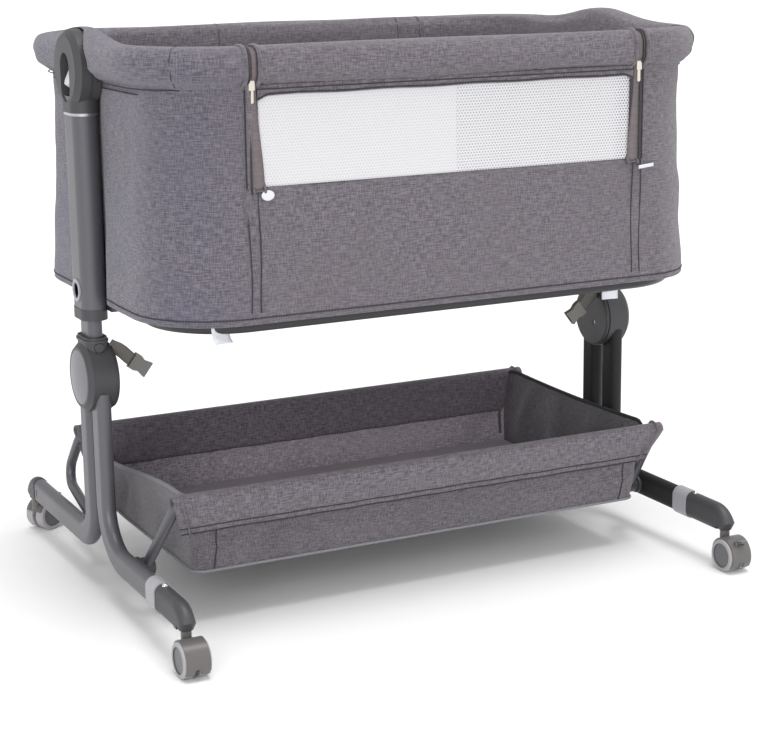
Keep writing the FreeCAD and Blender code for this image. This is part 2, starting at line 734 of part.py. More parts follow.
def strap_buckle():
    """Open half of a side-release buckle at the end of the webbing."""
    start, end = strap_corners()
    run = (end - start).normalize()
    across = vec(-run.z, 0, run.x)
    middle = end - Y_AXIS * STRAP_THICK / 2
    stations = [(0, BUCKLE_WIDE), (0.3, BUCKLE_WIDE), (0.55, BUCKLE_WAIST), (1, BUCKLE_WIDE)]
    upper = [middle + run * (BUCKLE_LONG * at) + across * (wide / 2) for at, wide in stations]
    lower = [middle + run * (BUCKLE_LONG * at) - across * (wide / 2) for at, wide in stations]
    outline = upper + lower[::-1] + upper[:1]
    face = Part.Face(Part.makePolygon(outline))
    face.translate(Y_AXIS * BUCKLE_THICK / 2)
    body = face.extrude(-Y_AXIS * BUCKLE_THICK)
    mouth = placed(
        Part.Face(oval_wire(BUCKLE_WAIST - 2 * BUCKLE_MOUTH / 2, BUCKLE_MOUTH)),
        middle + run * BUCKLE_LONG, across, -run,
    ).extrude(-run * (BUCKLE_LONG * 0.7))
    slot = placed(
        Part.Face(oval_wire(STRAP_WIDE + 2 * FIT, STRAP_THICK + 2 * FIT)),
        middle - run, across, run,
    ).extrude(run * (1 + FIT))
    return body.cut(mouth).cut(slot)


# ---------------------------------------------------------------- bassinet: posts and top hubs

def outer_post():
    face = placed(
        oval_tube_face(OUTER_WIDE, OUTER_THIN), vec(POST_X, 0, OUTER_BOTTOM), Y_AXIS, Z_AXIS
    )
    tube = face.extrude(vec(0, 0, OUTER_TOP - OUTER_BOTTOM))
    window = rod(WINDOW_RADIUS + WALL, vec(POST_X, 0, WINDOW_Z), vec(POST_X + OUTER_THIN, 0, WINDOW_Z))
    return tube.cut(window)


def post_bush():
    """Plastic bush that closes the bottom of the outer post and guides the inner one."""
    lip = oval_post(
        OUTER_WIDE + 2 * BUSH_WALL, OUTER_THIN + 2 * BUSH_WALL, OUTER_BOTTOM - BUSH_LIP, OUTER_BOTTOM
    )
    spigot = oval_post(
        OUTER_WIDE - 2 * WALL - 2 * SEAT, OUTER_THIN - 2 * WALL - 2 * SEAT,
        OUTER_BOTTOM, OUTER_BOTTOM + BUSH_SPIGOT,
    )
    bore = oval_post(
        INNER_WIDE + 2 * FIT, INNER_THIN + 2 * FIT,
        OUTER_BOTTOM - BUSH_LIP - 1, OUTER_BOTTOM + BUSH_SPIGOT + 1,
    )
    return joined(lip, spigot).cut(bore)


def window_bezel():
    """Ring round the height window, shaped to the post behind it."""
    face_x = POST_X + OUTER_THIN / 2
    ring = rod(BEZEL_RADIUS, vec(POST_X, 0, WINDOW_Z), vec(face_x + BEZEL_RISE, 0, WINDOW_Z))
    hole = rod(WINDOW_RADIUS, vec(POST_X, 0, WINDOW_Z), vec(face_x + 2 * BEZEL_RISE, 0, WINDOW_Z))
    post = oval_post(
        OUTER_WIDE, OUTER_THIN, WINDOW_Z - 2 * BEZEL_RADIUS, WINDOW_Z + 2 * BEZEL_RADIUS
    )
    return ring.cut(hole).cut(post)


def post_ring():
    """Bright band round the top of the outer post, just under the hub's neck."""
    top = TOP_NECK_BOTTOM
    outer = oval_wire(OUTER_WIDE + 2 * RING_THICK, OUTER_THIN + 2 * RING_THICK)
    inner = oval_wire(OUTER_WIDE + 2 * SEAT, OUTER_THIN + 2 * SEAT)
    at = vec(POST_X, 0, top - RING_TALL)
    return placed(hollow(outer, inner), at, Y_AXIS, Z_AXIS).extrude(Z_AXIS * RING_TALL)


def recess_centre_z():
    return TOP_HUB_Z - RECESS_DROP


def top_hub():
    """Round head of the post with a finger recess for the lift lever."""
    face_x = TOP_HUB_OUTER_X + TOP_HUB_BEVEL
    drum = revolved_about_x(
        [
            (TOP_HUB_INNER_X, 0), (TOP_HUB_INNER_X, TOP_HUB_DRUM), (TOP_HUB_STEP_X, TOP_HUB_DRUM),
            (TOP_HUB_STEP_X, TOP_HUB_RADIUS), (TOP_HUB_OUTER_X, TOP_HUB_RADIUS),
            (face_x, TOP_HUB_RADIUS - TOP_HUB_BEVEL), (face_x, 0),
        ],
        0, TOP_HUB_Z,
    )
    neck = oval_post(
        OUTER_WIDE + 2 * TOP_NECK_WALL, OUTER_THIN + 2 * TOP_NECK_WALL, TOP_NECK_BOTTOM, TOP_HUB_Z
    )
    post_socket = oval_post(
        OUTER_WIDE + 2 * SEAT, OUTER_THIN + 2 * SEAT, TOP_NECK_BOTTOM - 1, OUTER_TOP + SEAT
    )
    recess = placed(
        Part.Face(oval_wire(RECESS_TALL, RECESS_WIDE)),
        vec(face_x - RECESS_DEPTH, 0, recess_centre_z()), Z_AXIS, X_AXIS,
    ).extrude(X_AXIS * (RECESS_DEPTH + 1))
    body = joined(drum, neck).cut(post_socket).cut(recess)
    tongue_x = face_x - RECESS_DEPTH + FIT - TONGUE_DEEP
    tongue_way = box(
        tongue_x - FIT, face_x - RECESS_DEPTH + 1,
        -TONGUE_WIDE / 2 - FIT, TONGUE_WIDE / 2 + FIT,
        tongue_bottom() - FIT, tongue_bottom() + TONGUE_TALL + LEVER_TRAVEL + FIT,
    )
    rod_way = rod(
        ROD_RADIUS + FIT,
        vec(tongue_x + TONGUE_WIDE / 2, 0, OUTER_TOP - 1),
        vec(tongue_x + TONGUE_WIDE / 2, 0, tongue_bottom() + 1),
    )
    body = body.cut(tongue_way).cut(rod_way)
    for sign in (-1, 1):
        body = body.cut(rod(
            FRAME_TUBE / 2 + SEAT,
            vec(UPPER_FRAME_X, sign * (TOP_HUB_RADIUS - HUB_TUBE_DEPTH), UPPER_FRAME_Z),
            vec(UPPER_FRAME_X, sign * (TOP_HUB_RADIUS + 1), UPPER_FRAME_Z),
        ))
    return body


def hub_rivet():
    """Rivet in the floor of the recess, under the lever."""
    floor_x = TOP_HUB_OUTER_X + TOP_HUB_BEVEL - RECESS_DEPTH
    return rod(RIVET_RADIUS, vec(floor_x, 0, RIVET_Z), vec(floor_x + RIVET_RISE, 0, RIVET_Z))


def tongue_bottom():
    return LEVER_BOTTOM + (LEVER_TALL - TONGUE_TALL) / 2


def lift_lever():
    """Wedge-shaped finger lever with its tongue, in the recess of the top hub."""
    back_x = TOP_HUB_OUTER_X + TOP_HUB_BEVEL - RECESS_DEPTH + FIT
    bottom = LEVER_BOTTOM
    top = LEVER_BOTTOM + LEVER_TALL
    outline = [
        vec(back_x, 0, bottom + LEVER_TIP), vec(back_x, 0, top), vec(back_x + LEVER_TIP, 0, top),
        vec(back_x + LEVER_DEEP, 0, bottom + LEVER_TIP), vec(back_x + LEVER_DEEP - LEVER_TIP, 0, bottom),
    ]
    face = Part.Face(Part.makePolygon(outline + outline[:1]))
    face.translate(-Y_AXIS * LEVER_WIDE / 2)
    wedge = face.extrude(Y_AXIS * LEVER_WIDE)
    wedge = wedge.common(lever_plan(back_x - 1))
    tongue = box(
        back_x - TONGUE_DEEP, back_x + 1,
        -TONGUE_WIDE / 2, TONGUE_WIDE / 2,
        tongue_bottom(), tongue_bottom() + TONGUE_TALL,
    )
    return joined(wedge, tongue)


def lever_plan(x):
    """Outline of the lever seen from outside: a narrow top over a wide round bottom."""
    tip = LEVER_TIP / 2
    half = LEVER_WIDE / 2
    top = LEVER_BOTTOM + LEVER_TALL
    shoulder = LEVER_BOTTOM + half
    edges = [
        Part.LineSegment(vec(x, -tip, top), vec(x, tip, top)),
        Part.LineSegment(vec(x, tip, top), vec(x, half, shoulder)),
        Part.Arc(vec(x, half, shoulder), vec(x, 0, LEVER_BOTTOM), vec(x, -half, shoulder)),
        Part.LineSegment(vec(x, -half, shoulder), vec(x, -tip, top)),
    ]
    outline = Part.Wire([edge.toShape() for edge in edges])
    return Part.Face(outline).extrude(X_AXIS * (LEVER_DEEP + 2))


def pull_rod():
    """Rod from the lever's tongue down the inside of the posts to the height lock."""
    x = TOP_HUB_OUTER_X + TOP_HUB_BEVEL - RECESS_DEPTH + FIT - TONGUE_DEEP + TONGUE_WIDE / 2
    return rod(ROD_RADIUS, vec(x, 0, ROD_BOTTOM), vec(x, 0, tongue_bottom()))


# ---------------------------------------------------------------- bassinet: frame

def rear_upper_frame():
    """Tube inside the padded rim, from top hub to top hub round the back."""
    hub_y = TOP_HUB_RADIUS - HUB_TUBE_DEPTH
    back_y = TUB_HALF_WIDTH + RIM_WIDTH_OVERHANG - RIM_THICK / 2
    points = [
        vec(-UPPER_FRAME_X, hub_y, UPPER_FRAME_Z), vec(-UPPER_FRAME_X, back_y, UPPER_FRAME_Z),
        vec(UPPER_FRAME_X, back_y, UPPER_FRAME_Z), vec(UPPER_FRAME_X, hub_y, UPPER_FRAME_Z),
    ]
    return bent_bar(round_tube_face(FRAME_TUBE), points, UPPER_FRAME_BEND, Z_AXIS)


def front_upper_frame():
    """Tube from a top hub round the front corner to the drop side."""
    hub_y = TOP_HUB_RADIUS - HUB_TUBE_DEPTH
    front_y = TUB_HALF_WIDTH + RIM_WIDTH_OVERHANG - RIM_THICK / 2
    points = [
        vec(UPPER_FRAME_X, -hub_y, UPPER_FRAME_Z), vec(UPPER_FRAME_X, -front_y, UPPER_FRAME_Z),
        vec(PANEL_HALF + 2 * PANEL_GAP, -front_y, UPPER_FRAME_Z),
    ]
    return bent_bar(round_tube_face(FRAME_TUBE), points, UPPER_FRAME_BEND, Z_AXIS)


def lower_frame(sign):
    """U-shaped tube under the tub, from socket to socket."""
    start_y = sign * (SOCKET_HALF_WIDE - SOCKET_DEPTH)
    points = [
        vec(-LOWER_FRAME_X, start_y, LOWER_FRAME_Z),
        vec(-LOWER_FRAME_X, sign * LOWER_FRAME_Y, LOWER_FRAME_Z),
        vec(LOWER_FRAME_X, sign * LOWER_FRAME_Y, LOWER_FRAME_Z),
        vec(LOWER_FRAME_X, start_y, LOWER_FRAME_Z),
    ]
    return bent_bar(round_tube_face(FRAME_TUBE), points, LOWER_FRAME_BEND, Z_AXIS)


def frame_socket():
    """Block on the inner face of an outer post that takes both lower frame tubes."""
    outer_x = POST_X - OUTER_THIN / 2 - SEAT
    inner_x = LOWER_FRAME_X - FRAME_TUBE / 2 - 2 * WALL
    block = box(
        inner_x, outer_x, -SOCKET_HALF_WIDE, SOCKET_HALF_WIDE,
        LOWER_FRAME_Z - SOCKET_TALL / 2, TUB_BOTTOM - SEAT,
    )
    upright = [edge for edge in block.Edges
               if abs(edge.tangentAt(edge.FirstParameter).z) > 0.9 and edge.CenterOfMass.x < outer_x - 1]
    block = block.makeFillet(2 * WALL, upright)
    for sign in (-1, 1):
        block = block.cut(rod(
            FRAME_TUBE / 2 + SEAT,
            vec(LOWER_FRAME_X, sign * (SOCKET_HALF_WIDE - SOCKET_DEPTH), LOWER_FRAME_Z),
            vec(LOWER_FRAME_X, sign * (SOCKET_HALF_WIDE + 1), LOWER_FRAME_Z),
        ))
    lip = oval_post(
        OUTER_WIDE + 2 * BUSH_WALL, OUTER_THIN + 2 * BUSH_WALL + 2 * SEAT,
        OUTER_BOTTOM - BUSH_LIP, OUTER_BOTTOM + SEAT,
    )
    return block.cut(lip)


# ---------------------------------------------------------------- bassinet: soft parts

def rounded_outline(half_x, half_y, corner, z):
    """A rectangle with round corners, as a wire at height z."""
    flat = box(-half_x, half_x, -half_y, half_y, z, z + 1)
    upright = [edge for edge in flat.Edges if abs(edge.tangentAt(edge.FirstParameter).z) > 0.9]
    rounded = flat.makeFillet(corner, upright)
    bottom = min(rounded.Faces, key=lambda face: face.CenterOfMass.z)
    return bottom.OuterWire


def rounded_block(half_x, half_y, corner, bottom, top):
    face = Part.Face(rounded_outline(half_x, half_y, corner, bottom))
    return face.extrude(Z_AXIS * (top - bottom))


def beside_post_x():
    """X of the end wall's outside where it passes the post and its hub."""
    return POST_X - OUTER_THIN / 2 - TOP_NECK_WALL - 2 * SOFT_GAP


def tub_block(inset, bottom, top):
    """The tub's plan, drawn in by inset, with a hollow in each end wall beside the post."""
    half_y = TUB_HALF_WIDTH - inset
    slope = (TUB_TOP_HALF_LENGTH - TUB_HALF_LENGTH) / (RIM_BOTTOM - TUB_BOTTOM)
    low_x = TUB_HALF_LENGTH - inset + slope * (bottom - TUB_BOTTOM)
    high_x = TUB_HALF_LENGTH - inset + slope * (top - TUB_BOTTOM)
    outlines = [
        rounded_outline(low_x, half_y, TUB_CORNER - inset, bottom),
        rounded_outline(high_x, half_y, TUB_CORNER - inset, top),
    ]
    block = Part.makeLoft(outlines, True, True)
    hollow_x = beside_post_x() + POST_RECESS_RADIUS
    for sign in (-1, 1):
        block = block.cut(Part.makeCylinder(
            POST_RECESS_RADIUS + inset, top - bottom + 2, vec(sign * hollow_x, 0, bottom - 1)
        ))
    return block


def rim_roll():
    """Padded roll round the top edge, higher beside the hubs."""
    half_x = TUB_TOP_HALF_LENGTH + RIM_LENGTH_OVERHANG
    half_y = TUB_HALF_WIDTH + RIM_WIDTH_OVERHANG
    corner = TUB_CORNER + RIM_LENGTH_OVERHANG
    top = RIM_BOTTOM + RIM_TALL + 2 * RIM_PEAK
    outer = rounded_block(half_x, half_y, corner, RIM_BOTTOM, top)
    inner = rounded_block(
        half_x - RIM_THICK, half_y - RIM_THICK, corner - RIM_THICK, RIM_BOTTOM - 1, top + 1
    )
    roll = outer.cut(inner).common(under_roof())
    level = [edge for edge in roll.Edges if abs(edge.tangentAt(edge.FirstParameter).z) < 0.5]
    return roll.makeFillet(RIM_ROUND, level)


def under_roof():
    """Everything below the rim's top line, which rises toward the hubs at mid width."""
    top = RIM_BOTTOM + RIM_TALL
    far = TUB_HALF_WIDTH + 2 * RIM_THICK
    x = -TUB_HALF_LENGTH - 2 * RIM_THICK
    side = [vec(x, far, top), vec(x, RIM_PEAK_REACH, top), vec(x, RIM_PEAK_REACH / 2, top + RIM_PEAK / 2)]
    line = side + [vec(x, 0, top + RIM_PEAK)] + [vec(x, -point.y, point.z) for point in side[::-1]]
    roof = Part.BSplineCurve()
    roof.interpolate(line)
    base = Part.makePolygon([line[-1], vec(x, -far, 0), vec(x, far, 0), line[0]])
    outline = Part.Wire([roof.toShape()] + base.Edges)
    return Part.Face(outline).extrude(X_AXIS * (-2 * x))


def bassinet_fabric():
    """Fabric tub: floor, walls and padded rim, open where the drop side is."""
    top = RIM_BOTTOM + RIM_ROUND
    shell = tub_block(0, TUB_BOTTOM, top)
    cavity = tub_block(TUB_WALL, TUB_BOTTOM + TUB_FLOOR, top + 1)
    body = shell.cut(cavity)
    roll = rim_roll()
    for side in SIDES.values():
        roll = roll.fuse(mirrored(hub_hood(), side))
    roll = roll.removeSplitter()
    for side in SIDES.values():
        for space in hub_spaces() + [post_space(), zip_channel()]:
            roll = roll.cut(mirrored(space, side))
    body = joined(body, roll)
    for side in SIDES.values():
        body = body.cut(mirrored(hub_spaces()[0], side))
        body = body.fuse(mirrored(strut_sleeve(), side))
    body = body.removeSplitter()
    for side in SIDES.values():
        body = body.cut(mirrored(strut_bore(), side))
        body = body.cut(mirrored(hinge_space(), side))
    opening = box(
        -PANEL_HALF - PANEL_GAP, PANEL_HALF + PANEL_GAP,
        -TUB_HALF_WIDTH - RIM_THICK, -TUB_HALF_WIDTH + 2 * RIM_THICK,
        HINGE_Z, RIM_BOTTOM + RIM_TALL + 1,
    )
    body = body.cut(opening)
    for tube in frame_tube_spaces():
        body = body.cut(tube)
    return body


def hub_hood():
    """Fabric drawn up over the inner part of the top hub."""
    inner_x = TUB_TOP_HALF_LENGTH + RIM_LENGTH_OVERHANG - RIM_THICK
    hood = rod(
        TOP_HUB_DRUM + SOFT_GAP + HOOD_COVER,
        vec(inner_x, 0, TOP_HUB_Z),
        vec(TOP_HUB_STEP_X - SOFT_GAP, 0, TOP_HUB_Z),
    )
    above = box(inner_x - 1, TOP_HUB_STEP_X, -RIM_PEAK_REACH, RIM_PEAK_REACH, TOP_HUB_Z, 2 * TOP_HUB_Z)
    return hood.common(above)


def hub_spaces():
    """Room round the inner and the outer part of the top hub."""
    outer_end = vec(TUB_HALF_LENGTH + 2 * RIM_THICK, 0, TOP_HUB_Z)
    drum = rod(TOP_HUB_DRUM + SOFT_GAP, vec(TOP_HUB_INNER_X - SOFT_GAP, 0, TOP_HUB_Z), outer_end)
    disc = rod(TOP_HUB_RADIUS + SOFT_GAP, vec(TOP_HUB_STEP_X - SOFT_GAP, 0, TOP_HUB_Z), outer_end)
    return [drum, disc]


def zip_channel():
    """Flat band beside the drop side, where the zip crosses the rim."""
    inner = PANEL_HALF + PANEL_GAP
    return box(
        inner, inner + 2 * SLIDER_OFFSET + PANEL_GAP,
        -TUB_HALF_WIDTH - RIM_THICK, -TUB_HALF_WIDTH + 2 * FIT,
        PANEL_BOTTOM, RIM_BOTTOM + RIM_TALL + 1,
    )


def post_space():
    """Room round a post and its hub's neck, so that the rim stays clear of them."""
    return oval_post(
        OUTER_WIDE + 2 * TOP_NECK_WALL + 2 * SOFT_GAP, OUTER_THIN + 2 * TOP_NECK_WALL + 2 * SOFT_GAP,
        OUTER_BOTTOM, TOP_HUB_Z,
    )


def frame_tube_spaces():
    """Solid bars a little thicker than the upper frame tubes, to make their tunnels in the rim."""
    face = Part.Face(circle_wire(FRAME_TUBE + 2 * FIT))
    back_y = TUB_HALF_WIDTH + RIM_WIDTH_OVERHANG - RIM_THICK / 2
    rear = bent_bar(face, [
        vec(-UPPER_FRAME_X, 0, UPPER_FRAME_Z), vec(-UPPER_FRAME_X, back_y, UPPER_FRAME_Z),
        vec(UPPER_FRAME_X, back_y, UPPER_FRAME_Z), vec(UPPER_FRAME_X, 0, UPPER_FRAME_Z),
    ], UPPER_FRAME_BEND, Z_AXIS)
    front = bent_bar(face, [
        vec(UPPER_FRAME_X, 0, UPPER_FRAME_Z), vec(UPPER_FRAME_X, -back_y, UPPER_FRAME_Z),
        vec(PANEL_HALF, -back_y, UPPER_FRAME_Z),
    ], UPPER_FRAME_BEND, Z_AXIS)
    return [rear, front, mirrored(front, -1)]


def strut_place():
    """X and Y of a strut, behind the front wall and just outside the panel."""
    y = -(TUB_HALF_WIDTH - TUB_WALL - RAIL_TUBE / 2 - FIT)
    return PANEL_HALF + STRUT_OFFSET, y


def strut_sleeve():
    x, y = strut_place()
    half = RAIL_TUBE / 2 + FIT + SLEEVE_WALL
    return box(
        x - half, x + half, -TUB_HALF_WIDTH + TUB_WALL / 2, y + half,
        TUB_BOTTOM + TUB_FLOOR / 2, HINGE_Z - HINGE_EYE_RADIUS,
    )


def strut_bore():
    x, y = strut_place()
    return rod(RAIL_TUBE / 2 + FIT, vec(x, y, TUB_BOTTOM - 1), vec(x, y, RIM_BOTTOM))


def hinge_space():
    """Pocket in the fabric's edge round the hinge of the drop side."""
    x, y = strut_place()
    reach = HINGE_EYE_RADIUS + SOFT_GAP
    return box(
        PANEL_HALF - STRIP_WIDE, x + RAIL_TUBE / 2 + SOFT_GAP,
        -TUB_HALF_WIDTH - RIM_THICK, y + reach,
        HINGE_Z - reach, HINGE_Z + 2 * reach,
    )


def front_strut():
    """Strut in the sewn sleeve, with the hinge pin of the drop side on its top."""
    x, y = strut_place()
    bar = rod(RAIL_TUBE / 2, vec(x, y, LOWER_FRAME_Z + FRAME_TUBE / 2), vec(x, y, HINGE_Z))
    plate_x = x - RAIL_TUBE / 2
    middle_y = (y - HINGE_Y) / 2
    plate = placed(
        Part.Face(oval_wire(HINGE_Y + y + 2 * HINGE_EYE_RADIUS, 2 * HINGE_EYE_RADIUS)),
        vec(plate_x, middle_y, HINGE_Z), Y_AXIS, X_AXIS,
    ).extrude(X_AXIS * HINGE_PLATE)
    pin = rod(
        HINGE_PIN_RADIUS,
        vec(rail_x() - HINGE_PLATE, -HINGE_Y, HINGE_Z),
        vec(plate_x + 1, -HINGE_Y, HINGE_Z),
    )
    return joined(bar, plate, pin)


def mattress_board():
    bottom = TUB_BOTTOM + TUB_FLOOR + FIT
    return mattress_plan(bottom, bottom + BOARD_THICK)


def mattress_plan(bottom, top):
    """Rounded plan that clears the sleeves of the struts."""
    half_y = -strut_place()[1] - RAIL_TUBE / 2 - FIT - SLEEVE_WALL - MATTRESS_GAP
    half_x = beside_post_x() - TUB_WALL - MATTRESS_GAP
    return rounded_block(half_x, half_y, TUB_CORNER - TUB_WALL - MATTRESS_GAP, bottom, top)


def mattress():
    """Foam mattress with rounded edges and a slight crown."""
    bottom = TUB_BOTTOM + TUB_FLOOR + BOARD_THICK + 2 * FIT
    block = mattress_plan(bottom, bottom + MATTRESS_TALL)
    level = [edge for edge in block.Edges if abs(edge.tangentAt(edge.FirstParameter).z) < 0.1]
    pad = block.makeFillet(MATTRESS_ROUND, level)
    half = TUB_HALF_WIDTH - TUB_WALL
    radius = (half ** 2 + MATTRESS_CROWN ** 2) / (2 * MATTRESS_CROWN)
    crown = rod(
        radius,
        vec(-TUB_HALF_LENGTH, 0, bottom + MATTRESS_TALL - radius),
        vec(TUB_HALF_LENGTH, 0, bottom + MATTRESS_TALL - radius),
    )
    return pad.common(crown)


# ---------------------------------------------------------------- drop side

def rail_x():
    return PANEL_HALF - RAIL_INSET


def drop_rail():
    """U-shaped tube in the edge of the drop side, with an eye on each hinge pin."""
    y = -(TUB_HALF_WIDTH - STRIP_THICK / 2)
    foot_z = HINGE_Z + 2 * HINGE_EYE_RADIUS
    points = [
        vec(-rail_x(), y, foot_z), vec(-rail_x(), y, RAIL_TOP_Z),
        vec(rail_x(), y, RAIL_TOP_Z), vec(rail_x(), y, foot_z),
    ]
    rail = bent_bar(round_tube_face(RAIL_TUBE, WALL), points, RAIL_BEND, Y_AXIS)
    for sign in (-1, 1):
        rail = rail.fuse(mirrored(rail_eye(y, foot_z), sign))
    return rail.removeSplitter()


def rail_eye(y, foot_z):
    """Flat eye that joins the foot of the rail to the hinge pin."""
    x = rail_x() - HINGE_PLATE / 2
    eye = rod(HINGE_EYE_RADIUS, vec(x, -HINGE_Y, HINGE_Z), vec(x + HINGE_PLATE, -HINGE_Y, HINGE_Z))
    arm_outline = [
        vec(x, -HINGE_Y - HINGE_EYE_RADIUS * 0.8, HINGE_Z + HINGE_EYE_RADIUS * 0.6),
        vec(x, y - RAIL_TUBE / 2, foot_z + HINGE_EYE_RADIUS),
        vec(x, y + RAIL_TUBE / 2, foot_z + HINGE_EYE_RADIUS),
        vec(x, -HINGE_Y + HINGE_EYE_RADIUS * 0.8, HINGE_Z - HINGE_EYE_RADIUS * 0.2),
    ]
    arm = Part.Face(Part.makePolygon(arm_outline + arm_outline[:1])).extrude(X_AXIS * HINGE_PLATE)
    bore = rod(
        HINGE_PIN_RADIUS + AXLE_FIT,
        vec(x - 1, -HINGE_Y, HINGE_Z), vec(x + HINGE_PLATE + 1, -HINGE_Y, HINGE_Z),
    )
    return joined(eye, arm).cut(bore)


def rail_space():
    """The rail's outline a little thicker, to hollow the fabric round it."""
    y = -(TUB_HALF_WIDTH - STRIP_THICK / 2)
    foot_z = HINGE_Z - HINGE_EYE_RADIUS
    points = [
        vec(-rail_x(), y, foot_z), vec(-rail_x(), y, RAIL_TOP_Z),
        vec(rail_x(), y, RAIL_TOP_Z), vec(rail_x(), y, foot_z),
    ]
    return bent_bar(Part.Face(circle_wire(RAIL_TUBE + 2 * FIT)), points, RAIL_BEND, Y_AXIS)


def drop_panel():
    """Dropping part of the front: padded rim, side strips and the mesh window."""
    slab = box(
        -PANEL_HALF, PANEL_HALF,
        -TUB_HALF_WIDTH - RIM_THICK, -TUB_HALF_WIDTH + 2 * RIM_THICK,
        PANEL_BOTTOM, RIM_BOTTOM + RIM_TALL + 1,
    )
    roll = rim_roll().common(slab)
    mesh = box(
        -PANEL_HALF, PANEL_HALF, -TUB_HALF_WIDTH, -TUB_HALF_WIDTH + MESH_THICK,
        PANEL_BOTTOM, RIM_BOTTOM + RIM_ROUND,
    )
    pieces = [roll, mesh]
    for sign in (-1, 1):
        strip = box(
            PANEL_HALF - STRIP_WIDE, PANEL_HALF,
            -TUB_HALF_WIDTH, -TUB_HALF_WIDTH + STRIP_THICK,
            HINGE_Z + 3 * HINGE_EYE_RADIUS, RIM_BOTTOM + RIM_ROUND,
        )
        pieces.append(mirrored(strip, sign))
    panel = joined(*pieces).cut(rail_space())
    for side in SIDES.values():
        panel = panel.cut(mirrored(eye_space(), side))
    return panel


def eye_space():
    """Corner cut out of the mesh's foot, where the hinge eye stands."""
    reach = HINGE_EYE_RADIUS + SOFT_GAP
    return box(
        PANEL_HALF - STRIP_WIDE, PANEL_HALF + 1,
        -TUB_HALF_WIDTH - RIM_THICK, -TUB_HALF_WIDTH + RIM_THICK,
        PANEL_BOTTOM - 1, HINGE_Z + 3 * HINGE_EYE_RADIUS,
    )


def zip_slider():
    """Slider on the fixed tape of the zip with its hanging pull."""
    x = PANEL_HALF + PANEL_GAP + SLIDER_OFFSET
    front = -TUB_HALF_WIDTH - FIT
    body = box(
        x - SLIDER_WIDE / 2, x + SLIDER_WIDE / 2, front - SLIDER_THICK, front,
        SLIDER_Z - SLIDER_TALL / 2, SLIDER_Z + SLIDER_TALL / 2,
    )
    body = body.makeFillet(SLIDER_THICK / 4, body.Edges)
    pull_y = front - SLIDER_THICK / 2
    pull = placed(
        Part.Face(oval_wire(PULL_LENGTH, PULL_WIDE)),
        vec(x, pull_y - PULL_THICK / 2, SLIDER_Z - PULL_LENGTH / 2), Z_AXIS, Y_AXIS,
    ).extrude(Y_AXIS * PULL_THICK)
    return joined(body, pull)


# ---------------------------------------------------------------- casters

def caster_frame(x_sign, y_sign, swivel):
    """Placement of a caster: made at the origin with its wheels toward -Y, then turned and moved."""
    turn = FreeCAD.Rotation(Z_AXIS, swivel)
    return FreeCAD.Placement(vec(x_sign * POST_X, y_sign * STEM_Y, 0), turn)


def at_caster(shape, frame):
    moved = shape.copy()
    moved.transformShape(frame.toMatrix(), True)
    return moved


def across(radius, half, y=-TRAIL, z=WHEEL_RADIUS):
    """A cylinder along X, centred on the wheel axle unless told otherwise."""
    return rod(radius, vec(-half, y, z), vec(half, y, z))


def caster_hood(braked):
    """Hood over the two wheels, with the middle web, the stem boss and the brake's ears."""
    shell = across(HOOD_RADIUS, HOOD_HALF)
    bay = across(HOOD_RADIUS - HOOD_SHELL, HOOD_HALF + 1)
    web = across(HOOD_RADIUS - HOOD_SHELL, HOOD_WEB)
    hood = shell.cut(bay).fuse(web)
    below = box(
        -HOOD_HALF - 1, HOOD_HALF + 1, -TRAIL, HOOD_RADIUS, -HOOD_RADIUS, HOOD_BACK_Z
    )
    floor = box(
        -HOOD_HALF - 1, HOOD_HALF + 1, -TRAIL - HOOD_RADIUS, -TRAIL + 1, -HOOD_RADIUS, HOOD_FRONT_Z
    )
    axle_web = across(2 * AXLE_RADIUS + HOOD_WEB, HOOD_WEB)
    notch = box(
        -HOOD_NOTCH, HOOD_NOTCH,
        -TRAIL - HOOD_RADIUS - 1, -TRAIL - HOOD_RADIUS / 2,
        HOOD_FRONT_Z - 1, HOOD_FRONT_Z + HOOD_NOTCH_TALL,
    )
    hood = hood.cut(below).cut(floor).fuse(axle_web).cut(notch)
    boss = rod(BOSS_RADIUS, vec(0, 0, WHEEL_RADIUS), vec(0, 0, SWIVEL_Z - STEM_COLLAR - FIT))
    hood = hood.fuse(boss.cut(across(HOOD_RADIUS - HOOD_SHELL, HOOD_HALF + 1)))
    if braked:
        hood = hood.fuse(brake_ears())
    hood = hood.removeSplitter().cut(across(AXLE_RADIUS + AXLE_FIT, HOOD_HALF))
    return hood.cut(rod(STEM_RADIUS, vec(0, 0, stem_foot()), vec(0, 0, SWIVEL_Z)))


def stem_foot():
    return SWIVEL_Z - 2 * STEM_RADIUS


def caster_stem():
    """Steel stem with its collar, fixed in the hood and turning in the foot end."""
    pin = rod(STEM_RADIUS, vec(0, 0, stem_foot()), vec(0, 0, SWIVEL_Z + STEM_LENGTH))
    collar_bottom = SWIVEL_Z - STEM_COLLAR - FIT
    collar = rod(STEM_COLLAR_RADIUS, vec(0, 0, collar_bottom), vec(0, 0, collar_bottom + STEM_COLLAR))
    return joined(pin, collar)


def caster_wheel(sign):
    """One wheel: tyre with rounded edge and a sunk disc on its outer face."""
    wheel = rod(
        WHEEL_RADIUS, vec(sign * WHEEL_INNER, -TRAIL, WHEEL_RADIUS), vec(sign * WHEEL_OUTER, -TRAIL, WHEEL_RADIUS)
    )
    rim = [edge for edge in wheel.Edges if edge.Closed and abs(edge.CenterOfMass.x) > WHEEL_OUTER - 1]
    wheel = wheel.makeFillet(WHEEL_EDGE, rim)
    sunk = rod(
        WHEEL_HUB_RECESS,
        vec(sign * (WHEEL_OUTER - WHEEL_RECESS_DEPTH), -TRAIL, WHEEL_RADIUS),
        vec(sign * (WHEEL_OUTER + 1), -TRAIL, WHEEL_RADIUS),
    )
    bore = across(AXLE_RADIUS, WHEEL_OUTER - 2 * WHEEL_RECESS_DEPTH)
    return wheel.cut(sunk).cut(bore)


